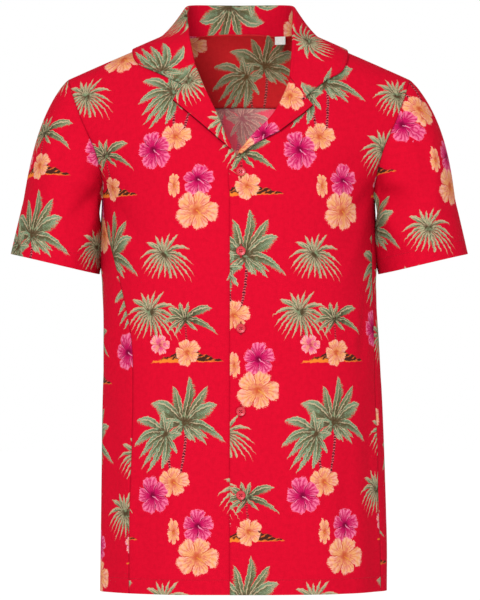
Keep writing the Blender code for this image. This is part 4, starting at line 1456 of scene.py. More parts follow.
@dataclass
class Sewing:
    """Thread: rows of stitches, bound buttonholes and the buttons' crosses."""

    pitch: float = 2.7
    length: float = 2.0
    width: float = 0.42
    probe: float = 0.4  # how far ahead a row's direction is looked for
    grains: list[Array] = field(default_factory=list)

    def grain(
        self, centre: Array, along: Array, normal: Array, length: float, width: float
    ) -> None:
        """Adds one stitch, a thin pointed bead of thread.

        Args:
            centre: its middle.
            along: its direction.
            normal: the cloth's normal.
            length: its length.
            width: its width.
        """
        across = np.cross(normal, along)
        corners = (
            (-0.5, 0.0, 0.1), (-0.3, -0.5, 0.2), (-0.3, 0.0, 0.9), (-0.3, 0.5, 0.2),
            (0.3, -0.5, 0.2), (0.3, 0.0, 0.9), (0.3, 0.5, 0.2), (0.5, 0.0, 0.1),
        )
        bead = [
            centre + along * a * length + across * b * width + normal * c * width * 0.6
            for a, b, c in corners
        ]
        self.grains.append(np.array(bead))

    def row(self, points: Array, normals: Array) -> None:
        """Adds a row of stitches along a line on the cloth.

        Args:
            points: the line's points.
            normals: the cloth's normals there.
        """
        length = run_lengths(points)
        places = np.arange(self.pitch / 2, length[-1], self.pitch)
        here = read_line(places, length, points)
        ahead = read_line(places + self.probe, length, points)
        out = unit(read_line(places, length, normals))
        for centre, after, normal in zip(here[:-1], ahead[:-1], out[:-1]):
            along = unit(after - centre)
            normal = unit(normal - along * np.dot(normal, along))
            self.grain(centre, along, normal, self.length, self.width)

    def make(self, name: str, material: bpy.types.Material) -> bpy.types.Object:
        """Makes one object of all the stitches added.

        Args:
            name: the object's name.
            material: the thread's finish.

        Returns:
            The object.
        """
        vertices = np.concatenate(self.grains) * MM
        shape = (
            (0, 2, 1), (0, 3, 2), (0, 1, 3), (7, 4, 5), (7, 5, 6), (7, 6, 4),
            (1, 2, 5, 4), (2, 3, 6, 5), (3, 1, 4, 6),
        )
        starts = range(0, len(vertices), len(self.grains[0]))
        faces = [tuple(start + corner for corner in face) for start in starts for face in shape]
        mesh = bpy.data.meshes.new(name)
        mesh.from_pydata(vertices.tolist(), [], faces)
        shell = bmesh.new()
        shell.from_mesh(mesh)
        bmesh.ops.recalc_face_normals(shell, faces=shell.faces)
        shell.to_mesh(mesh)
        shell.free()
        mesh.shade_smooth()
        mesh.materials.append(material)
        return stand(name, mesh)


def line_along(panel: Panel, edge: Edge, inset: float) -> tuple[Array, Array]:
    """A line on a panel's seen face, a given way in from one of its edges.

    Args:
        panel: the panel.
        edge: the edge.
        inset: the distance from it, in millimetres.

    Returns:
        The line's points and normals.
    """
    grids = (panel.distance(edge), panel.points, panel.normals)
    away, points, normals = (from_edge(grid, edge) for grid in grids)
    line = []
    for column in range(points.shape[1]):
        at = float(np.interp(inset, away[:, column], np.arange(len(away))))
        low = min(int(at), len(away) - 2)
        f = at - low
        line.append(
            [
                points[low, column] * (1 - f) + points[low + 1, column] * f,
                unit(normals[low, column] * (1 - f) + normals[low + 1, column] * f),
            ]
        )
    line = np.array(line)
    return line[:, 0], line[:, 1]


@dataclass
class Buttons:
    """Five turned four-hole buttons down the left front."""

    surface: BodySurface
    heights: Sequence[float] = (-180.5, -285.0, -387.0, -496.5, -607.0)
    x: float = 2.4
    seat: float = 0.5  # the back's height above the cloth
    sides: int = 48
    hole_radius: float = 0.8
    hole_pitch: float = 2.7
    hole_sides: int = 16
    drill_depth: float = 10.0
    bevel: float = 0.12
    bevel_angle: float = math.radians(50.0)
    smooth_angle: float = math.radians(35.0)
    face_height: float = 1.66  # the thread crosses at this height above the back
    cross: tuple[float, float] = (1.75, 0.62)  # its length in hole pitches, and its width
    slit: float = 8.4  # half the buttonhole's length
    whips: int = 27  # stitches that bind each side of it
    whip: tuple[float, float] = (1.25, 0.7)  # their length and width
    whip_pitch: float = 0.6
    whip_aside: float = 0.75
    bar: tuple[float, float] = (2.8, 0.75)  # of the two stitches that close each end
    bar_aside: float = 0.35
    # radius and height, from the back over the rim to the dished face
    profile: Table = (
        (0.0, 0.0), (5.2, 0.0), (5.75, 0.2), (6.1, 0.6), (6.28, 1.15), (6.2, 1.7),
        (5.95, 2.15), (5.6, 2.38), (5.25, 2.36), (4.95, 2.16), (4.6, 1.85), (4.1, 1.7), (0.0, 1.62),
    )

    def _blank(self) -> bpy.types.Object:
        """Turns the button's body.

        Returns:
            The body, undrilled.
        """
        disc = bmesh.new()
        rings = []
        for radius, height in self.profile[1:-1]:
            ring = []
            for step in range(self.sides):
                turn = 2 * math.pi * step / self.sides
                place = Vector((radius * math.cos(turn), radius * math.sin(turn), height))
                ring.append(disc.verts.new(place * MM))
            rings.append(ring)
        for lower, upper in zip(rings, rings[1:]):
            for step in range(self.sides):
                after = (step + 1) % self.sides
                disc.faces.new((lower[step], lower[after], upper[after], upper[step]))
        disc.faces.new(rings[0])
        disc.faces.new(rings[-1])
        bmesh.ops.recalc_face_normals(disc, faces=disc.faces)
        return self._object(disc, "button_blank")

    @staticmethod
    def _object(shape: bmesh.types.BMesh, name: str) -> bpy.types.Object:
        """Turns a shape under way into an object.

        Args:
            shape: the shape, which is freed.
            name: the object's name.

        Returns:
            The object.
        """
        mesh = bpy.data.meshes.new(name)
        shape.to_mesh(mesh)
        shape.free()
        return stand(name, mesh)

    def _mesh(self, material: bpy.types.Material) -> bpy.types.Mesh:
        """The button's mesh, drilled and with its edges softened.

        Args:
            material: the finish.

        Returns:
            The mesh.
        """
        drill = bmesh.new()
        for x in (-0.5, 0.5):
            for y in (-0.5, 0.5):
                bmesh.ops.create_cone(
                    drill, cap_ends=True, segments=self.hole_sides, radius1=self.hole_radius * MM,
                    radius2=self.hole_radius * MM, depth=self.drill_depth * MM,
                    matrix=Matrix.Translation(Vector((x, y, 0)) * self.hole_pitch * MM),
                )
        body, cutter = self._blank(), self._object(drill, "button_drill")
        holes = body.modifiers.new("holes", "BOOLEAN")
        holes.operation, holes.object = "DIFFERENCE", cutter
        soft = body.modifiers.new("soft", "BEVEL")
        soft.width, soft.segments, soft.angle_limit = self.bevel * MM, 2, self.bevel_angle
        graph = bpy.context.evaluated_depsgraph_get()
        mesh = bpy.data.meshes.new_from_object(body.evaluated_get(graph))
        for item in (body, cutter):
            bpy.data.objects.remove(item, do_unlink=True)
        mesh.shade_smooth()
        mesh.set_sharp_from_angle(angle=self.smooth_angle)
        mesh.materials.clear()
        mesh.materials.append(material)
        return mesh

    def make(self, sewing: Sewing, material: bpy.types.Material) -> list[bpy.types.Object]:
        """Makes the buttons, and adds their crosses and buttonholes to the sewing.

        Args:
            sewing: the thread that holds them.
            material: their finish.

        Returns:
            The button objects, from the top.
        """
        mesh = self._mesh(material)
        made = []
        for number, height in enumerate(self.heights, start=1):
            place, normal = self.surface.on_front(np.array([self.x]), np.array([height]))
            place, normal = place[0], normal[0]
            button = stand(f"shirt_button_{number}", mesh)
            button.location = Vector(place + normal * self.seat) * MM
            button.rotation_euler = Vector(normal).to_track_quat("Z", "X").to_euler()
            made.append(button)
            turn = np.array(button.rotation_euler.to_matrix())
            x_axis, y_axis = turn[:, 0], turn[:, 1]
            face = place + normal * (self.seat + self.face_height)
            for sign in (-1.0, 1.0):
                along = unit(x_axis + sign * y_axis)
                lift = normal * (0.1 + 0.16 * (sign + 1))
                length, width = self.cross
                sewing.grain(face + lift, along, normal, self.hole_pitch * length, width)
            self._buttonhole(sewing, place, normal)
        return made

    def _buttonhole(self, sewing: Sewing, place: Array, normal: Array) -> None:
        """Adds an upright buttonhole's binding behind a button.

        Args:
            sewing: the thread.
            place: the cloth's point under the button.
            normal: its normal.
        """
        down = unit(np.array([0.0, 0.0, -1.0]) + normal * normal[2])
        across = np.cross(normal, down)
        for number in range(self.whips):
            step = (number - self.whips // 2) * self.whip_pitch
            for sign in (-1.0, 1.0):
                centre = place + down * step + across * sign * self.whip_aside + normal * 0.1
                sewing.grain(centre, across, normal, *self.whip)
        for sign in (-1.0, 1.0):
            for shift in (-self.bar_aside, self.bar_aside):
                centre = place + down * (sign * self.slit + shift) + normal * 0.12
                sewing.grain(centre, across, normal, *self.bar)


@dataclass
class SizeTab:
    """A blank woven tab, folded in two and sewn into the back neck seam.

    Its folded half is made, as a panel with a map of its own.
    """

    form: BodyForm
    x: float = 58.0
    width: float = 14.0
    height: float = 11.0
    cloth: float = 0.8
    depth: float = 4.2  # inside the yoke's outer face
    below: float = 1.4  # below the neck seam
    lines: int = 12
    stand_off: float = 0.9  # between the tab and the facing, before it bows
    bow: tuple[float, float] = (0.5, 0.25)  # across and down

    def panel(self) -> Panel:
        """Cuts the tab.

        Returns:
            The panel.
        """
        table = np.array(self.form.back_neck)
        ends = []
        for x in (self.x - self.width / 2, self.x + self.width / 2):
            row = smooth(table[:, 1], table[:, 0], x)
            ends.append(self.form.point(Side.LEFT, row, self.form.angle_at(Side.LEFT, -row, x)))
        along = unit((ends[1] - ends[0]) * np.array([1.0, 1.0, 0.0]))
        inward = np.array([along[1], -along[0], 0.0])
        top = min(end[2] for end in ends) - self.below
        corner = ends[0] + inward * self.depth
        corner[2] = top
        length = np.linalg.norm((ends[1] - ends[0])[:2])
        shares = np.linspace(0, 1, self.lines)
        across, down = np.meshgrid(shares, shares)
        bow = self.bow[0] * np.sin(across * math.pi) * down + self.bow[1] * np.sin(down * math.pi)
        points = corner + along * (across * length)[..., None]
        points = points + inward * (self.stand_off - bow)[..., None]
        points[..., 2] = top - down * self.height
        normals = np.broadcast_to(inward, points.shape).copy()
        made = Panel("size_tab_woven", points, normals, self.cloth)
        made.under = points - normals * self.cloth
        made.printed = np.stack([across * length, -down * self.height], axis=-1)
        made.two_faced = True
        return made


# ---- shader maths


def step(operation: str, swapped: bool = False) -> Callable[..., "Number"]:
    """Makes one of a number's methods.

    Args:
        operation: the arithmetic that it does.
        swapped: whether the other value comes first.

    Returns:
        The method, which takes the other value if the arithmetic needs one.
    """

    def method(first: "Number", *others: "Num") -> "Number":
        """Adds the step to the number's tree."""
        values = (*others, first) if swapped else (first, *others)
        return first.bench.math(operation, *values)

    return method


class Number:
    """A number that varies over a surface: an output socket that can be reckoned with."""

    def __init__(self, bench: "Bench", socket: bpy.types.NodeSocket) -> None:
        """Wraps an output socket of a material's tree."""
        self.bench, self.socket = bench, socket

    __add__, __radd__ = step("ADD"), step("ADD", True)
    __sub__, __rsub__ = step("SUBTRACT"), step("SUBTRACT", True)
    __mul__, __rmul__ = step("MULTIPLY"), step("MULTIPLY", True)
    __truediv__, __rtruediv__ = step("DIVIDE"), step("DIVIDE", True)
    __pow__, __abs__ = step("POWER"), step("ABSOLUTE")
    __lt__, __gt__ = step("LESS_THAN"), step("GREATER_THAN")  # 1 where it is so, else 0
    floor, fract = step("FLOOR"), step("FRACT")
    sine, root = step("SINE"), step("SQRT")
    least, most = step("MINIMUM"), step("MAXIMUM")

    def wrap(self, low: float, high: float) -> "Number":
        """Wraps round into a range."""
        return self.bench.math("WRAP", self, high, low)

    def rise(self, low: "Num", high: "Num") -> "Number":
        """Rises smoothly from 0 at `low` to 1 at `high`; falls where `low` is the greater."""
        settings = {"interpolation_type": "SMOOTHSTEP"}
        return self.bench.number("ShaderNodeMapRange", settings, self, low, high, 0.0, 1.0)


class Colour:
    """A colour that varies over a surface."""

    def __init__(self, bench: "Bench", socket: bpy.types.NodeSocket) -> None:
        """Wraps a colour output of a material's tree."""
        self.bench, self.socket = bench, socket

    def mix(self, other: "Tint", share: "Num") -> "Colour":
        """Mixes another colour in, by a share from 0 to 1."""
        return self.bench.mix(share, self, other)

    def times(self, level: "Num") -> "Colour":
        """The colour made lighter or darker."""
        node = self.bench.node("ShaderNodeVectorMath", {"operation": "SCALE"}, {0: self, 3: level})
        return Colour(self.bench, node.outputs[0])


Num = Number | float
RGB = tuple[float, float, float]
Tint = Colour | RGB


class Bench:
    """The node tree of one material, with the calls that add nodes to it."""

    def __init__(self, name: str) -> None:
        """Starts a material.

        Args:
            name: the material's name.
        """
        self.material = bpy.data.materials.new(name)
        self.material.use_nodes = True
        self.tree = self.material.node_tree
        self.shader = self.tree.nodes["Principled BSDF"]

    def node(self, kind: str, settings: dict, inputs: dict) -> bpy.types.Node:
        """Adds a node.

        Args:
            kind: the node's type.
            settings: its properties.
            inputs: for each input's number or name, a plain value or what is linked to it.

        Returns:
            The node.
        """
        made = self.tree.nodes.new(kind)
        for name, value in settings.items():
            setattr(made, name, value)
        for key, value in inputs.items():
            self._feed(made.inputs[key], value)
        return made

    def _feed(self, socket: bpy.types.NodeSocket, value: "Num | Tint") -> None:
        """Links an input to a value that varies, or sets it to a plain one.

        Args:
            socket: the input.
            value: a number or colour, varying or plain.
        """
        if isinstance(value, (Number, Colour)):
            self.tree.links.new(value.socket, socket)
        else:
            socket.default_value = (*value, 1.0) if isinstance(value, tuple) else value

    def _split(self, kind: str, source: bpy.types.NodeSocket) -> tuple[Number, ...]:
        """The three numbers of a vector or a colour."""
        made = self.node(kind, {}, {0: Number(self, source)})
        return tuple(Number(self, output) for output in made.outputs)

    def number(self, kind: str, settings: dict, *inputs: Num) -> Number:
        """Adds a node whose first output is a number."""
        made = self.node(kind, settings, dict(enumerate(inputs)))
        return Number(self, made.outputs[0])

    def math(self, operation: str, *values: Num) -> Number:
        """Adds one step of arithmetic."""
        return self.number("ShaderNodeMath", {"operation": operation}, *values)

    def mix(self, share: Num, first: Tint, second: Tint) -> Colour:
        """Mixes two colours, the second by a share from 0 to 1.

        Args:
            share: the second one's share.
            first: a colour.
            second: another.

        Returns:
            The mixture.
        """
        settings = {"data_type": "RGBA"}
        made = self.node("ShaderNodeMix", settings, {0: share, 6: first, 7: second})
        return Colour(self, made.outputs[2])

    def blend(self, share: Num, first: Num, second: Num) -> Number:
        """Mixes two numbers, the second by a share from 0 to 1."""
        made = self.node("ShaderNodeMix", {"data_type": "FLOAT"}, {0: share, 2: first, 3: second})
        return Number(self, made.outputs[0])

    def surface_map(self, name: str, scale: float) -> tuple[Number, Number]:
        """The two numbers of a mesh's map.

        Args:
            name: the map's name.
            scale: what both are multiplied by.

        Returns:
            The two numbers.
        """
        place = self.node("ShaderNodeUVMap", {"uv_map": name}, {})
        x, y, _ = self._split("ShaderNodeSeparateXYZ", place.outputs[0])
        return x * scale, y * scale

    def object_place(self) -> tuple[Number, ...]:
        """The three coordinates of the object itself, in metres."""
        place = self.node("ShaderNodeTexCoord", {}, {})
        return self._split("ShaderNodeSeparateXYZ", place.outputs["Object"])

    def noise(self, x: Num, y: Num, scale: float, detail: float = 1.0) -> tuple[Number, Number]:
        """Soft noise round one half, and a second one.

        Args:
            x: places across.
            y: and up.
            scale: waves for one unit.
            detail: how many finer layers it has.

        Returns:
            Both noises.
        """
        place = self.node("ShaderNodeCombineXYZ", {}, {0: x, 1: y})
        settings = {"noise_dimensions": "2D"}
        made = self.node("ShaderNodeTexNoise", settings, {"Scale": scale, "Detail": detail})
        self.tree.links.new(place.outputs[0], made.inputs["Vector"])
        second = self._split("ShaderNodeSeparateColor", made.outputs["Color"])[1]
        return Number(self, made.outputs[0]), second

    def table(self, at: Number, rows: Sequence[tuple[float, RGB]]) -> tuple[Number, ...]:
        """Looks three numbers up in a table that holds each row from its start on.

        Args:
            at: where to look, from 0 to 1.
            rows: each row's start, and its three numbers from 0 to 1.

        Returns:
            The three numbers.
        """
        made = self.node("ShaderNodeValToRGB", {}, {0: at})
        ramp = made.color_ramp
        ramp.interpolation = "CONSTANT"
        while len(ramp.elements) < len(rows):
            ramp.elements.new(1.0)
        for element, (start, values) in zip(ramp.elements, rows):
            element.position = start
            element.color = (*values, 1.0)
        return self._split("ShaderNodeSeparateColor", made.outputs[0])

    def bump(self, height: Number, distance: float, strength: float = 1.0) -> Number:
        """Adds a bump, as tall as `distance` in metres where the height is 1."""
        inputs = {"Strength": strength, "Distance": distance, "Height": height}
        return Number(self, self.node("ShaderNodeBump", {}, inputs).outputs[0])

    def finish(self, **inputs: "Num | Tint") -> bpy.types.Material:
        """Sets or links the shader's inputs, their spaces written as underscores.

        Args:
            inputs: the values, by the inputs' names.

        Returns:
            The material.
        """
        for name, value in inputs.items():
            self._feed(self.shader.inputs[name.replace("_", " ")], value)
        return self.material


def ink(red: float, green: float, blue: float) -> RGB:
    """A colour from its screen values, 0 to 255.

    Args:
        red: the red channel.
        green: the green one.
        blue: the blue one.

    Returns:
        The colour as light.
    """

    def linear(value: float) -> float:
        """One channel, as the light that it stands for."""
        value /= 255.0
        return value / 12.92 if value <= 0.04045 else ((value + 0.055) / 1.055) ** 2.4

    return linear(red), linear(green), linear(blue)


def darker(colour: RGB, level: float) -> RGB:
    """A colour with less light in it."""
    return tuple(level * part for part in colour)


# ---- the print


@dataclass(frozen=True)
class Crown:
    """A palm's head of fronds and its shades."""

    spokes: Table  # of each frond: where it points, its length, and half its width
    light: RGB
    dark: RGB
    core: RGB
    droop: float = 0.006
    pitch: float = 3.5
    cut: float = 0.10
    fray: float = 0.5
    blunt: float = 4.0
    longest: float = 100.0  # the length and the half width that the table holds as 1
    widest: float = 20.0
    full: float = 18.6  # half a frond's breadth where the table holds 1

    def rows(self) -> list[tuple[float, RGB]]:
        """The table of fronds by their turn, each up to half way to the next.

        Returns:
            Each row's start, and its turn, length and half width, from 0 to 1.
        """
        placed = sorted(
            ((degrees / 360.0 + 0.5) % 1.0, length / self.longest, half / self.widest)
            for degrees, length, half in self.spokes
        )
        rows = []
        for index, frond in enumerate(placed):
            before = placed[index - 1][0] - (1.0 if index == 0 else 0.0)
            rows.append(((before + frond[0]) / 2, frond))
        first = rows[0]
        if first[0] < 0.0:
            rows = [(0.0, first[1])] + rows[1:] + [(first[0] + 1.0, first[1])]
        elif first[0] > 0.0:
            rows = [(0.0, rows[-1][1])] + rows
        return rows


@dataclass(frozen=True)
class Bloom:
    """Where a five-petalled flower stands, its radius, kind (0 to 2), turn and stretch."""

    place: tuple[float, float]
    radius: float
    kind: float
    turn: float = 0.0
    stretch: tuple[float, float] = (1.0, 1.0)


@dataclass
class TropicalPrint:
    """Palms, hibiscus and small mounds in a staggered repeat, all reckoned from formulas."""

    bench: Bench
    origin: tuple[float, float] = CROWN
    across: float = 250.0
    drop: float = 228.5
    stagger: float = 129.0  # how far every other row is moved sideways
    sink: float = 8.0  # and down

    ground: RGB = ink(211, 9, 42)
    shadow: RGB = ink(204, 8, 40)
    edge: RGB = ink(206, 182, 148)
    twin_place: tuple[float, float] = (-25.0, -13.0)
    rear: Crown = Crown(
        (
            (110, 59, 9.5), (86, 64, 12), (65, 64, 10.5), (42, 50, 10), (137, 55, 11),
            (13, 40, 10), (164, 46, 10), (-20, 30, 8), (202, 32, 8), (-66, 25, 7),
        ),
        ink(124, 142, 106), ink(92, 90, 58), ink(78, 60, 40), 0.0105,
    )
    front: Crown = Crown(
        (
            (53, 70, 8.5), (21, 54, 11.5), (126, 84, 8), (153, 60, 10), (-32, 30, 9), (207, 33, 9),
            (-78, 22, 7),
        ),
        ink(134, 162, 130), ink(92, 92, 60), ink(84, 66, 44), 0.017,
    )
    twin: Crown = Crown(
        (
            (133, 66, 8), (156, 56, 10), (183, 45, 11), (210, 46, 11), (233, 49, 11),
            (259, 46, 10.5), (104, 34, 8), (70, 24, 8), (18, 22, 7), (-66, 26, 8),
        ),
        ink(138, 166, 134), ink(94, 96, 62), ink(84, 66, 44), 0.015,
    )
    small: Crown = Crown(
        (
            (100, 25, 6), (80, 29, 5.5), (62, 38, 5), (43, 50, 4.6), (24, 42, 6), (5, 39, 5),
            (-17, 37, 5), (-40, 34, 4.6), (-64, 36, 4.8), (-81, 43, 5.5), (-98, 31, 4.4),
            (-117, 33, 4.8), (-138, 34, 4.6), (-159, 31, 4.6), (-179, 34, 4.6), (164, 39, 5),
            (147, 45, 5), (131, 42, 6), (116, 33, 5),
        ),
        ink(134, 154, 118), ink(90, 92, 62), ink(78, 62, 42), 0.021, 3.2, 0.10, 0.35, 1.7,
    )
    pair: Crown = Crown(
        (
            (47, 54, 8), (14, 42, 9), (108, 26, 7), (132, 34, 8), (156, 34, 8), (80, 24, 7),
            (184, 27, 7), (218, 24, 6), (-40, 18, 6),
        ),
        ink(126, 142, 106), ink(82, 82, 54), ink(66, 50, 36), 0.018, 3.2, 0.10, 0.35, 2.5,
    )
    fans: tuple[tuple[float, float, float], ...] = ((-28.0, -233.0, 35.0), (-48.0, 148.0, 37.0))
    pair_place: tuple[float, float] = (1.0, 138.0)
    back_blooms: tuple[Bloom, ...] = (
        Bloom((-17.5, -76.0), 20.5, 1.0, 14.0),
        Bloom((-17.0, -142.0), 15.0, 1.0, 40.0, (0.55, 1.25)),
        Bloom((-36.0, 105.0), 14.0, 2.0, 25.0),
        Bloom((15.0, -134.0), 21.5, 0.0, 8.0),
    )
    front_blooms: tuple[Bloom, ...] = (
        Bloom((-47.0, -94.5), 24.0, 0.0, -6.0),
        Bloom((14.0, -175.0), 27.5, 1.0, 30.0),
        Bloom((2.0, 95.0), 17.5, 1.0, -12.0),
    )

    def draw(self) -> Colour:
        """Draws the whole print on the cloth's map.

        Returns:
            The print's colour.
        """
        bench = self.bench
        x, y = bench.surface_map("cloth", 1 / MM)
        rough_x, rough_y = bench.noise(x, y, 0.22, 2.0)
        self.x = x + (rough_x - 0.5) * 3.4 - self.origin[0]
        self.y = y + (rough_y - 0.5) * 3.4 - self.origin[1]
        self.mottle = bench.noise(x, y, 0.16, 2.0)[0]
        self.grain = bench.noise(x, y, 0.75, 1.0)[0]
        paint = bench.mix(self.mottle.rise(0.35, 0.75), self.ground, self.shadow)
        for palm_x, palm_y, size in (*self.fans[1:], (*self.pair_place, 34.0)):
            paint = self._far_trunk(paint, (palm_x, palm_y), size)
        paint = self._island(paint)
        x, y = self._pick([(px, py, size / 36.0, size / 36.0) for px, py, size in self.fans], 44.0)
        paint = self._crown(paint, x, y, self.small)
        paint = self._crown(paint, *self._fold(*self.pair_place), self.pair)
        x, y = self._fold(0.0, 0.0)
        paint = self._trunk(paint, x, y, (0.0, -8.0), (-8.0, -66.0), 5.0)
        paint = self._trunk(paint, x, y, (-24.0, -22.0), (-21.0, -66.0), -4.0)
        paint = self._crown(paint, x, y, self.rear)
        paint = self._crown(paint, x, y, self.front)
        paint = self._crown(paint, x - self.twin_place[0], y - self.twin_place[1], self.twin)
        for blooms in (self.back_blooms, self.front_blooms):
            paint = self._flowers(paint, blooms)
        return paint

    def _fold(self, x: float, y: float) -> tuple[Number, Number]:
        """Places measured from the nearest copy of a motif, in the staggered repeat.

        Args:
            x: the motif's place across.
            y: and up.

        Returns:
            The two places.
        """
        row = ((self.y - y) / self.drop + 0.5).floor()
        odd = (row * 0.5).fract() * 2.0
        aside = (self.x - x - odd * self.stagger).wrap(-self.across / 2, self.across / 2)
        return aside, self.y - y - row * self.drop + odd * self.sink

    def _pick(self, spots: Sequence[Sequence[float]], reach: float) -> tuple[Number, ...]:
        """Places measured from whichever of several motifs is near.

        Args:
            spots: for each motif, its place, its two scales, and any numbers of its own.
            reach: how far from its place a motif reaches, before it is scaled.

        Returns:
            The two places, and the motif's own numbers.
        """
        picked = None
        for x, y, scale_x, scale_y, *own in spots:
            near = [axis / scale for axis, scale in zip(self._fold(x, y), (scale_x, scale_y))]
            near += own
            if picked is None:
                picked = near
                continue
            inside = abs(near[0]).most(abs(near[1])) < reach
            picked = [self.bench.blend(inside, old, new) for old, new in zip(picked, near)]
        return tuple(picked)

    def _crown(self, paint: Colour, x: Number, y: Number, crown: Crown) -> Colour:
        """Paints a head of arching fronds, whose leaflets hang from a pale rib.

        Args:
            paint: what lies under it.
            x: places across from the crown's heart.
            y: and up.
            crown: its fronds and shades.

        Returns:
            The paint with the crown on it.
        """
        bench = self.bench
        x = x + (y * 0.085 + 0.8).sine() * 2.2
        bent = y + x * x * crown.droop
        out = (x * x + bent * bent).root()
        turn = bench.math("ARCTAN2", bent, x) / (2 * math.pi) + 0.5
        aim, length, half = bench.table(turn, crown.rows())
        aside = (turn - aim).wrap(-0.5, 0.5) * out * (2 * math.pi)
        under = aside * (abs(aim - 0.5) - 0.25) > 0.0
        away = abs(aside)
        along = out / (length * crown.longest)
        share = along.least(1.0)
        leaflet = ((out - away * 1.3) / crown.pitch + under * 0.5).fract()
        far = share * share
        broad = (1.0 - share**crown.blunt) * (share + 0.05).root() * half * crown.full
        ragged = ((self.grain - 0.35).most(0.0) * 3.0 + leaflet * 0.9) * (under * 0.7 + 0.3)
        broad = broad * (1.0 - ragged * (far * crown.fray + crown.cut))
        lobe = away * (1.4 - under * 0.62)
        inside = (broad - lobe).least((1.0 - along) * 30.0)
        dusk = under * (broad - lobe).rise(0.8, 4.5) * share.rise(0.95, 0.6)
        shade = bench.mix(dusk, crown.light, crown.dark)
        shade = shade.mix(crown.dark, leaflet.rise(0.75, 0.25) * self.grain.rise(0.3, 0.5) * 0.75)
        shade = shade.mix(crown.core, share.rise(0.75, 0.05) * self.mottle.rise(0.28, 0.55))
        pale = share.rise(0.4, 0.9) * self.grain.rise(0.36, 0.56)
        rim = inside.rise(1.3, 0.3) * pale.most((1.0 - under) * share.rise(0.1, 0.4)) * 0.95
        rib = away.rise(0.8, 0.25) * share.rise(0.08, 0.25) * share.rise(0.95, 0.75) * 0.75
        shade = shade.mix(self.edge, rim.most(rib))
        return paint.mix(shade, inside.rise(-0.35, 0.4))

    def _trunk(
        self, paint: Colour, x: Number, y: Number, top: Sequence[float], foot: Sequence[float],
        bow: float,
    ) -> Colour:
        """Paints a slender trunk as a row of dark rings with pale gaps.

        Args:
            paint: what lies under it.
            x: places across.
            y: and up.
            top: the trunk's top.
            foot: its foot.
            bow: how far its middle bends aside.

        Returns:
            The paint with the trunk on it.
        """
        share = (top[1] - y) / (top[1] - foot[1])
        middle = share * (foot[0] - top[0]) + top[0] + share * (1.0 - share) * bow
        away = abs(x - middle)
        inside = away.rise(2.1, 1.2) * (share > 0.0) * (share < 1.0)
        ring = ((y + away * 0.5) / 3.6).fract()
        shade = self.bench.mix(ring.rise(0.5, 0.75), ink(62, 26, 34), ink(222, 96, 104))
        return paint.mix(shade, inside * 0.9)

    def _far_trunk(self, paint: Colour, place: Sequence[float], size: float) -> Colour:
        """Paints a small palm's short trunk below its head.

        Args:
            paint: what lies under it.
            place: the palm's heart.
            size: the palm's size.

        Returns:
            The paint with the trunk on it.
        """
        x, y = self._fold(place[0], place[1] - size * 0.75)
        inside = abs(x + y * 0.1).rise(1.7, 0.9) * (abs(y) < size * 0.62)
        ring = (y / 3.2).fract()
        shade = self.bench.mix(ring.rise(0.45, 0.7), ink(92, 34, 38), ink(214, 60, 70))
        return paint.mix(shade, inside * 0.75)

    def _island(self, paint: Colour) -> Colour:
        """Paints a plain low mound with a warm foot.

        Args:
            paint: what lies under it.

        Returns:
            The paint with the mound on it.
        """
        x, y = self._fold(-4.0, 85.0)
        top = 14.5 - abs(x - 8.0) * 0.35 + (x * 0.42).sine() * 0.9 + (self.grain - 0.5) * 3.0
        inside = top - y
        body = inside.rise(-0.5, 0.5) * (y + 3.0 - x * 0.02).rise(-0.6, 0.6)
        warm = ((x * 0.5 - y * 1.1).sine() + self.mottle * 3.0).rise(1.9, 2.7)
        shade = self.bench.mix(warm, ink(70, 34, 28), ink(206, 96, 44))
        low = (y + (x * 0.8).sine() * 0.9).rise(2.6, -0.4) * x.rise(10.0, -14.0)
        shade = shade.mix(ink(240, 128, 44), low.most(y.rise(-0.8, -2.0)))
        return paint.mix(shade, body)

    def _flowers(self, paint: Colour, blooms: Sequence[Bloom]) -> Colour:
        """Paints a layer of flowers: ruffled petals, veins, a deep throat and a stamen.

        Args:
            paint: what lies under them.
            blooms: the layer's flowers.

        Returns:
            The paint with the flowers on it.
        """
        bench = self.bench
        spots = [
            (*b.place, b.radius * b.stretch[0], b.radius * b.stretch[1], b.kind, b.turn / 360.0)
            for b in blooms
        ]
        x, y, kind, twist = self._pick(spots, 1.15)
        out = (x * x + y * y).root()
        turn = (bench.math("ARCTAN2", y, x) / (2 * math.pi) + twist) * 5.0
        swept = turn + out * 0.16
        petal = swept.fract()
        lean = abs(petal - 0.5) * 2.0
        own = (swept.floor().wrap(0.0, 5.0) * 2.2 + kind * 1.3 + twist * 9.0).sine() * 0.08
        ruffle = (turn * 13.0).sine() * 0.022 + (self.grain - 0.5) * 0.24
        reach = (1.0 - lean**4.0).root() * 0.38 + 0.58 + own + ruffle
        inside = reach - out
        peach, pink = kind > 0.5, kind > 1.5
        body = bench.mix(peach, ink(204, 20, 92), ink(222, 126, 100)).mix(ink(226, 84, 128), pink)
        rim = bench.mix(peach, ink(243, 126, 162), ink(240, 175, 155)).mix(ink(244, 164, 182), pink)
        deep = bench.mix(peach, ink(108, 4, 44), ink(194, 78, 42)).mix(ink(176, 24, 76), pink)
        vein = ((petal - 0.5) * 34.0 / (out + 0.4)).sine() * 0.5 + 0.5
        light = out.rise(0.3, 0.9) * (vein * 0.8 + 0.15) * self.mottle.rise(0.2, 0.55)
        shade = body.mix(rim, light)
        shade = shade.mix(ink(250, 196, 112), peach * self.mottle.rise(0.62, 0.42) * 0.4)
        shade = shade.mix(deep, vein.rise(0.28, 0.0) * out.rise(1.0, 0.3) * 0.7)
        shade = shade.mix(deep, out.rise(0.34, 0.06) * 0.9)
        shade = shade.mix(deep, petal.rise(0.88, 0.99) * out.rise(0.1, 0.3) * 0.95)
        shade = shade.mix(rim, petal.rise(0.14, 0.03) * out.rise(0.2, 0.5) * 0.7)
        shade = shade.mix(rim, inside.rise(0.085, 0.03) * 0.65)
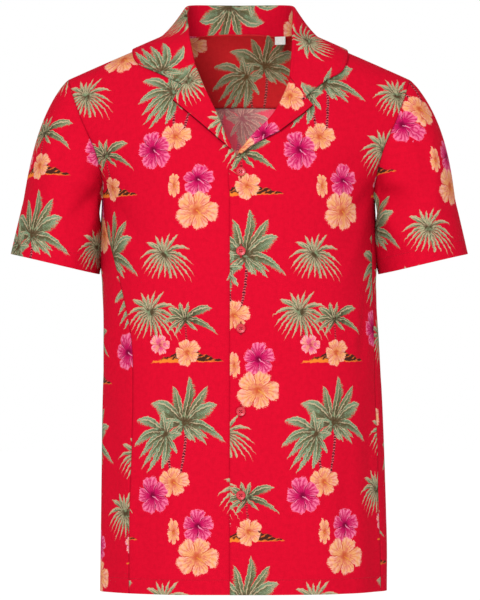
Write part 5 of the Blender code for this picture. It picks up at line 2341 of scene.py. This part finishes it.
        style = abs(y * 0.8 + x * 0.6).rise(0.04, 0.015) * (x * 0.8 - y * 0.6).rise(0.0, 0.04)
        style = style * out.rise(0.5, 0.44)
        shade = shade.mix(bench.mix(peach, ink(246, 150, 180), ink(226, 150, 60)), style * 0.75)
        return paint.mix(shade, inside.rise(-0.02, 0.03))


# ---- finishes


@dataclass(frozen=True)
class PrintedCloth:
    """Light plain-weave cloth with the tropical print."""

    name: str
    fade: float = 0.0  # how far the print is mixed towards the faded colour: on the wrong side the cloth's paler ground shows through, on the facing it is a slight orange tint
    faded: RGB = (0.62, 0.17, 0.24)
    level: float = 1.0
    thread: float = 0.42  # millimetres between threads

    def make(self) -> bpy.types.Material:
        """Makes the material.

        Returns:
            The material.
        """
        bench = Bench(self.name)
        paint = TropicalPrint(bench).draw()
        x, y = bench.surface_map("cloth", 1 / MM)
        hem, seam = bench.surface_map("sewing", 1.0)
        weft = bench.noise(x * 0.10, y * 2.6, 1.0, 2.0)[0]
        warp = bench.noise(x * 2.6, y * 0.07, 1.0, 2.0)[0]
        slub = weft * 0.5 + warp * 0.5
        weave = (x * (math.pi / self.thread)).sine() * (y * (math.pi / self.thread)).sine()
        level = (slub - 0.5) * 0.48 + weave * 0.07 + 1.0
        fold = hem.rise(1.02, 0.97)
        near_seam = seam.rise(7.0, 0.5) * (seam > 0.0)
        # painted shade in the groove along each sewn seam
        level = level - seam.rise(1.6, 0.2) * (seam > 0.0) * 0.32
        # painted shadow along the free edge of a collar or lapel
        level = level - seam.rise(-2.9, -1.5) * (seam < 0.0) * hem.rise(1.0, 4.0)
        if self.fade > 0.0:
            paint = paint.mix(self.faded, (slub.rise(0.3, 0.7) * 0.4 + 0.8) * self.fade)
        paint = paint.times(level * self.level)
        pucker = bench.noise(x * 0.16, y * 0.16, 1.0, 1.0)[0]
        gathered = near_seam.most(hem.rise(1.25, 1.0) * hem.rise(0.75, 1.0))
        height = weave * 0.10 + slub * 0.5 + fold * 1.2 + (pucker - 0.5) * gathered * 5.0
        return bench.finish(
            Base_Color=paint,
            Roughness=(slub - 0.5) * 0.4 + 0.84,
            Normal=bench.bump(height, 0.00022),
            Specular_IOR_Level=0.02,
        )


@dataclass(frozen=True)
class Thread:
    """Twisted sewing thread."""

    name: str = "sewing_thread"
    colour: RGB = ink(140, 7, 27)

    def make(self) -> bpy.types.Material:
        """Makes the material.

        Returns:
            The material.
        """
        bench = Bench(self.name)
        x, y, z = bench.object_place()
        ply = ((x + y * 0.6 + z) * 14000.0).sine()
        shade = bench.mix(ply * 0.5 + 0.5, darker(self.colour, 0.72), self.colour)
        return bench.finish(
            Base_Color=shade,
            Roughness=ply * 0.05 + 0.6,
            Normal=bench.bump(ply, 0.00004),
            Specular_IOR_Level=0.2,
        )


@dataclass(frozen=True)
class ButtonResin:
    """Semi-gloss moulded resin, faintly clouded."""

    name: str = "button_resin"
    colour: RGB = ink(152, 12, 30)

    def make(self) -> bpy.types.Material:
        """Makes the material.

        Returns:
            The material.
        """
        bench = Bench(self.name)
        x, y = (axis * (1 / MM) for axis in bench.object_place()[:2])
        cloud = bench.noise(x, y, 0.35, 2.0)[0]
        turned = ((x * x + y * y).root() * 9.0).sine()
        shade = bench.mix(cloud, darker(self.colour, 0.74), self.colour)
        return bench.finish(
            Base_Color=shade,
            Roughness=cloud * 0.16 + 0.24,
            Normal=bench.bump(turned * 0.3 + cloud, 0.00003),
            Specular_IOR_Level=0.35,
        )


@dataclass(frozen=True)
class WovenTab:
    """Blank damask tape."""

    name: str = "woven_tab"
    colour: RGB = ink(186, 184, 180)

    def make(self) -> bpy.types.Material:
        """Makes the material.

        Returns:
            The material.
        """
        bench = Bench(self.name)
        x, y = bench.surface_map("cloth", 1 / MM)
        rib = (y * (math.pi / 0.22)).sine()
        grain = (x * (math.pi / 0.3)).sine() * rib
        soil = bench.noise(x, y, 0.4, 2.0)[0]
        shade = bench.mix(soil, darker(self.colour, 0.8), self.colour)
        return bench.finish(
            Base_Color=shade.times(grain * 0.04 + 0.97),
            Roughness=soil * 0.1 + 0.68,
            Normal=bench.bump(grain + rib * 0.5, 0.00008),
            Specular_IOR_Level=0.15,
        )


@dataclass(frozen=True)
class StudioFloor:
    """A plain pale sheet of paper."""

    name: str = "studio_floor"

    def make(self) -> bpy.types.Material:
        """Makes the material.

        Returns:
            The material.
        """
        bench = Bench(self.name)
        return bench.finish(
            Base_Color=(0.97, 0.97, 0.97),
            Roughness=0.9,
            Specular_IOR_Level=0.0,
            Emission_Color=(1.0, 1.0, 1.0),
            Emission_Strength=0.06,
        )


@dataclass
class Finishes:
    """Every material of the shirt and its studio."""

    def __post_init__(self) -> None:
        """Makes them."""
        self.printed = PrintedCloth("printed_cloth", level=0.44).make()
        # The wrong side's paler ground is its own, but it and the facing, which is the same cloth
        # as the outside, are also drawn lighter than the outside: painted light inside the shirt.
        self.wrong_side = PrintedCloth("cloth_wrong_side", fade=0.42, level=1.0).make()
        self.facing = PrintedCloth("printed_facing", 0.045, faded=(0.9, 0.4, 0.1), level=0.6).make()
        self.thread = Thread().make()
        self.button = ButtonResin().make()
        self.tab = WovenTab().make()
        self.floor = StudioFloor().make()


# ---- the whole


@dataclass
class Studio:
    """The camera, a wide pale floor, and soft light from all round."""

    floor_height: float = -1.5
    floor_size: float = 60.0
    distance: float = 6.5
    eye: tuple[float, float] = (0.0013, -0.3497)
    pixel: float = 0.001345  # metres across one column of the rendered view
    columns: int = 480
    sensor: float = 36.0
    middle: tuple[float, float, float] = (0.0, 0.0, -0.35)  # what the lamps face
    # name, place, size and power of each lamp
    lamps: Sequence[tuple[str, tuple[float, float, float], float, float]] = (
        ("key", (-1.5, -4.7, 2.0), 2.2, 400.0),
        ("fill", (3.2, -3.8, 0.4), 3.0, 110.0),
    )

    def make(self, finish: bpy.types.Material) -> None:
        """Sets up the studio round the shirt.

        Args:
            finish: the floor's material.
        """
        mesh = bpy.data.meshes.new("studio_floor")
        half = self.floor_size / 2
        corners = [(-half, -half), (half, -half), (half, half), (-half, half)]
        mesh.from_pydata([(x, y, self.floor_height) for x, y in corners], [], [(0, 1, 2, 3)])
        mesh.materials.append(finish)
        stand("studio_floor", mesh)
        for lamp in self.lamps:
            self._light(*lamp)
        world = bpy.data.worlds.new("studio")
        bpy.context.scene.world = world
        world.use_nodes = True
        background = world.node_tree.nodes["Background"]
        background.inputs["Color"].default_value = (1.0, 1.0, 1.0, 1.0)
        background.inputs["Strength"].default_value = 1.0
        data = bpy.data.cameras.new("camera")
        data.sensor_fit, data.sensor_width = "HORIZONTAL", self.sensor
        data.lens = self.sensor * self.distance / (self.columns * self.pixel)
        data.clip_end = 100.0
        camera = stand("camera", data)
        camera.location = (self.eye[0], -self.distance, self.eye[1])
        camera.rotation_euler = (math.pi / 2, 0.0, 0.0)
        bpy.context.scene.camera = camera
        bpy.context.scene.view_settings.view_transform = "Standard"

    def _light(
        self, name: str, place: tuple[float, float, float], size: float, power: float
    ) -> None:
        """Adds a large soft lamp that faces the shirt.

        Args:
            name: the lamp's name.
            place: where it stands.
            size: how wide it is.
            power: in watts.
        """
        data = bpy.data.lights.new(name, "AREA")
        data.shape, data.size, data.energy = "DISK", size, power
        lamp = stand(name, data)
        lamp.location = place
        toward = Vector(self.middle) - Vector(place)
        lamp.rotation_euler = toward.to_track_quat("-Z", "Y").to_euler()


SLOTS = {"yoke_facing": "printed_facing", "size_tab_woven": "label"}  # the rest: printed_cloth


@dataclass
class Shirt:
    """The shirt: its cut pieces, its sewing, its buttons and its tab."""

    finishes: Finishes
    yoke_hem: float = 2.0  # the stitches' distance from the yoke seam
    thread_lift: float = 0.02
    made: dict[str, bpy.types.Object] = field(default_factory=dict)

    def anchors(self) -> dict[str, Anchor]:
        """Where each panel's print is fixed, as (x, z) in front view and in the print.

        Returns:
            The anchors, by the panels' names.
        """
        x, y = CROWN
        fan = (x - 28.0, y - 233.0)
        return {
            "front_right": Anchor((x, y), (x, y)),
            "front_left": Anchor((x + 197.3, y), (x, y)),
            "back": Anchor((-24.0, -88.0), (x, y)),
            "yoke": Anchor((0.0, -40.0), (20.0, -300.0)),
            "yoke_facing": Anchor((37.7, -33.6), (x, y)),
            "sleeve_right": Anchor((-275.0, -265.0), (x, y), first=0.5),
            "sleeve_left": Anchor((254.2, -254.0), fan, first=0.5),
            "collar": Anchor((-15.0, 37.0), (x, y + 15.0), 180.0, 6),
            "lapel_right": Anchor((-66.0, -57.0), fan, -64.0),
            "lapel_left": Anchor((67.4, -79.0), (x - 17.5, y - 76.0), 64.0),
        }

    def panels(self) -> list[Panel]:
        """Cuts every piece of cloth.

        Returns:
            The panels.
        """
        form = BodyForm()
        surface = BodySurface(form)
        self.surface, self.form = surface, form
        sleeves = {side: Sleeve(side, creases(rows)) for side, rows in SLEEVE_CREASES.items()}
        panels = Body(form).panels(sleeves)
        edges = {
            side: NeckEdge(form, surface, side, gorge) for side, (gorge, _, _) in LAPELS.items()
        }
        collar = Collar(surface, edges).panel()
        x = CROWN[0]
        collar.moves = (
            (x + 63.0, x + 146.0, (-6.0, -40.5)),
            (x + 146.0, math.inf, (18.0, -44.0)),
            (-math.inf, x - 113.0, (33.0, -48.5)),
        )
        panels.append(collar)
        for side, (_, break_row, outline) in LAPELS.items():
            panels.append(Lapel(surface, edges[side], break_row, outline).panel())
        panels.append(SizeTab(form).panel())
        return panels

    def build(self) -> None:
        """Makes every piece, parents it to the root, hides the imported part that it stands for,
        and logs it.
        """
        finishes, anchors, tailor = self.finishes, self.anchors(), Tailor()
        panels = self.panels()
        sewing = {}
        for panel in panels:
            if panel.printed is None:
                flat = flatten(panel.points, panel.normals)
                anchor = anchors[panel.name]
                panel.printed = anchor.lay(flat, panel.points, panel.normals)
            sewing[panel.name] = self.stitch(panel)
            both = {"yoke_facing": finishes.facing, "size_tab_woven": finishes.tab}
            outer = both.get(panel.name, finishes.printed)
            inner = outer if panel.two_faced else finishes.wrong_side
            self.made[panel.name] = tailor.make(panel, (outer, inner))
        for panel in panels:
            self._declare(panel, sewing[panel.name])
        thread = Sewing()
        buttons = Buttons(self.surface).make(thread, finishes.button)
        for number, button in enumerate(buttons, start=1):
            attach(button, "root")
            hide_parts(f"button_{number}")
            LOG.info("made %s", button.name)
        self._ride(thread.make("button_thread", finishes.thread), "printed_cloth")

    def stitch(self, panel: Panel) -> bpy.types.Object | None:
        """Sews the visible rows of stitches on a panel.

        Args:
            panel: the panel.

        Returns:
            The stitches, if it has any.
        """
        thread = Sewing()
        rows = {Edge.BOTTOM: self.yoke_hem} if panel.name == "yoke" else panel.hems
        for edge, inset in rows.items():
            points, normals = line_along(panel, edge, inset)
            thread.row(points + normals * self.thread_lift, normals)
        if not thread.grains:
            return None
        return thread.make(f"{panel.name}_stitches", self.finishes.thread)

    @staticmethod
    def _ride(piece: bpy.types.Object, slot: str) -> None:
        """Parents a piece to the root, so that it moves with it, and logs it.

        Args:
            piece: the piece.
            slot: not used.
        """
        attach(piece, "root")
        LOG.info("made %s", piece.name)

    def _declare(self, panel: Panel, stitches: bpy.types.Object | None) -> None:
        """Parents a panel's piece and its stitches to the root, and hides the imported part that it
        stands for.

        Args:
            panel: the panel.
            stitches: its stitches, if it has any.
        """
        piece = self.made[panel.name]
        self._ride(piece, SLOTS.get(panel.name, "printed_cloth"))
        node = panel.name.replace("_woven", "")
        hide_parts(node)
        if stitches is not None:
            self._ride(stitches, "printed_cloth")


def main() -> None:
    """Builds the shirt and its studio."""
    logging.basicConfig(level=logging.INFO, format="%(message)s")
    finishes = Finishes()
    Shirt(finishes).build()
    Studio().make(finishes.floor)


if __name__ == "__main__":
    main()
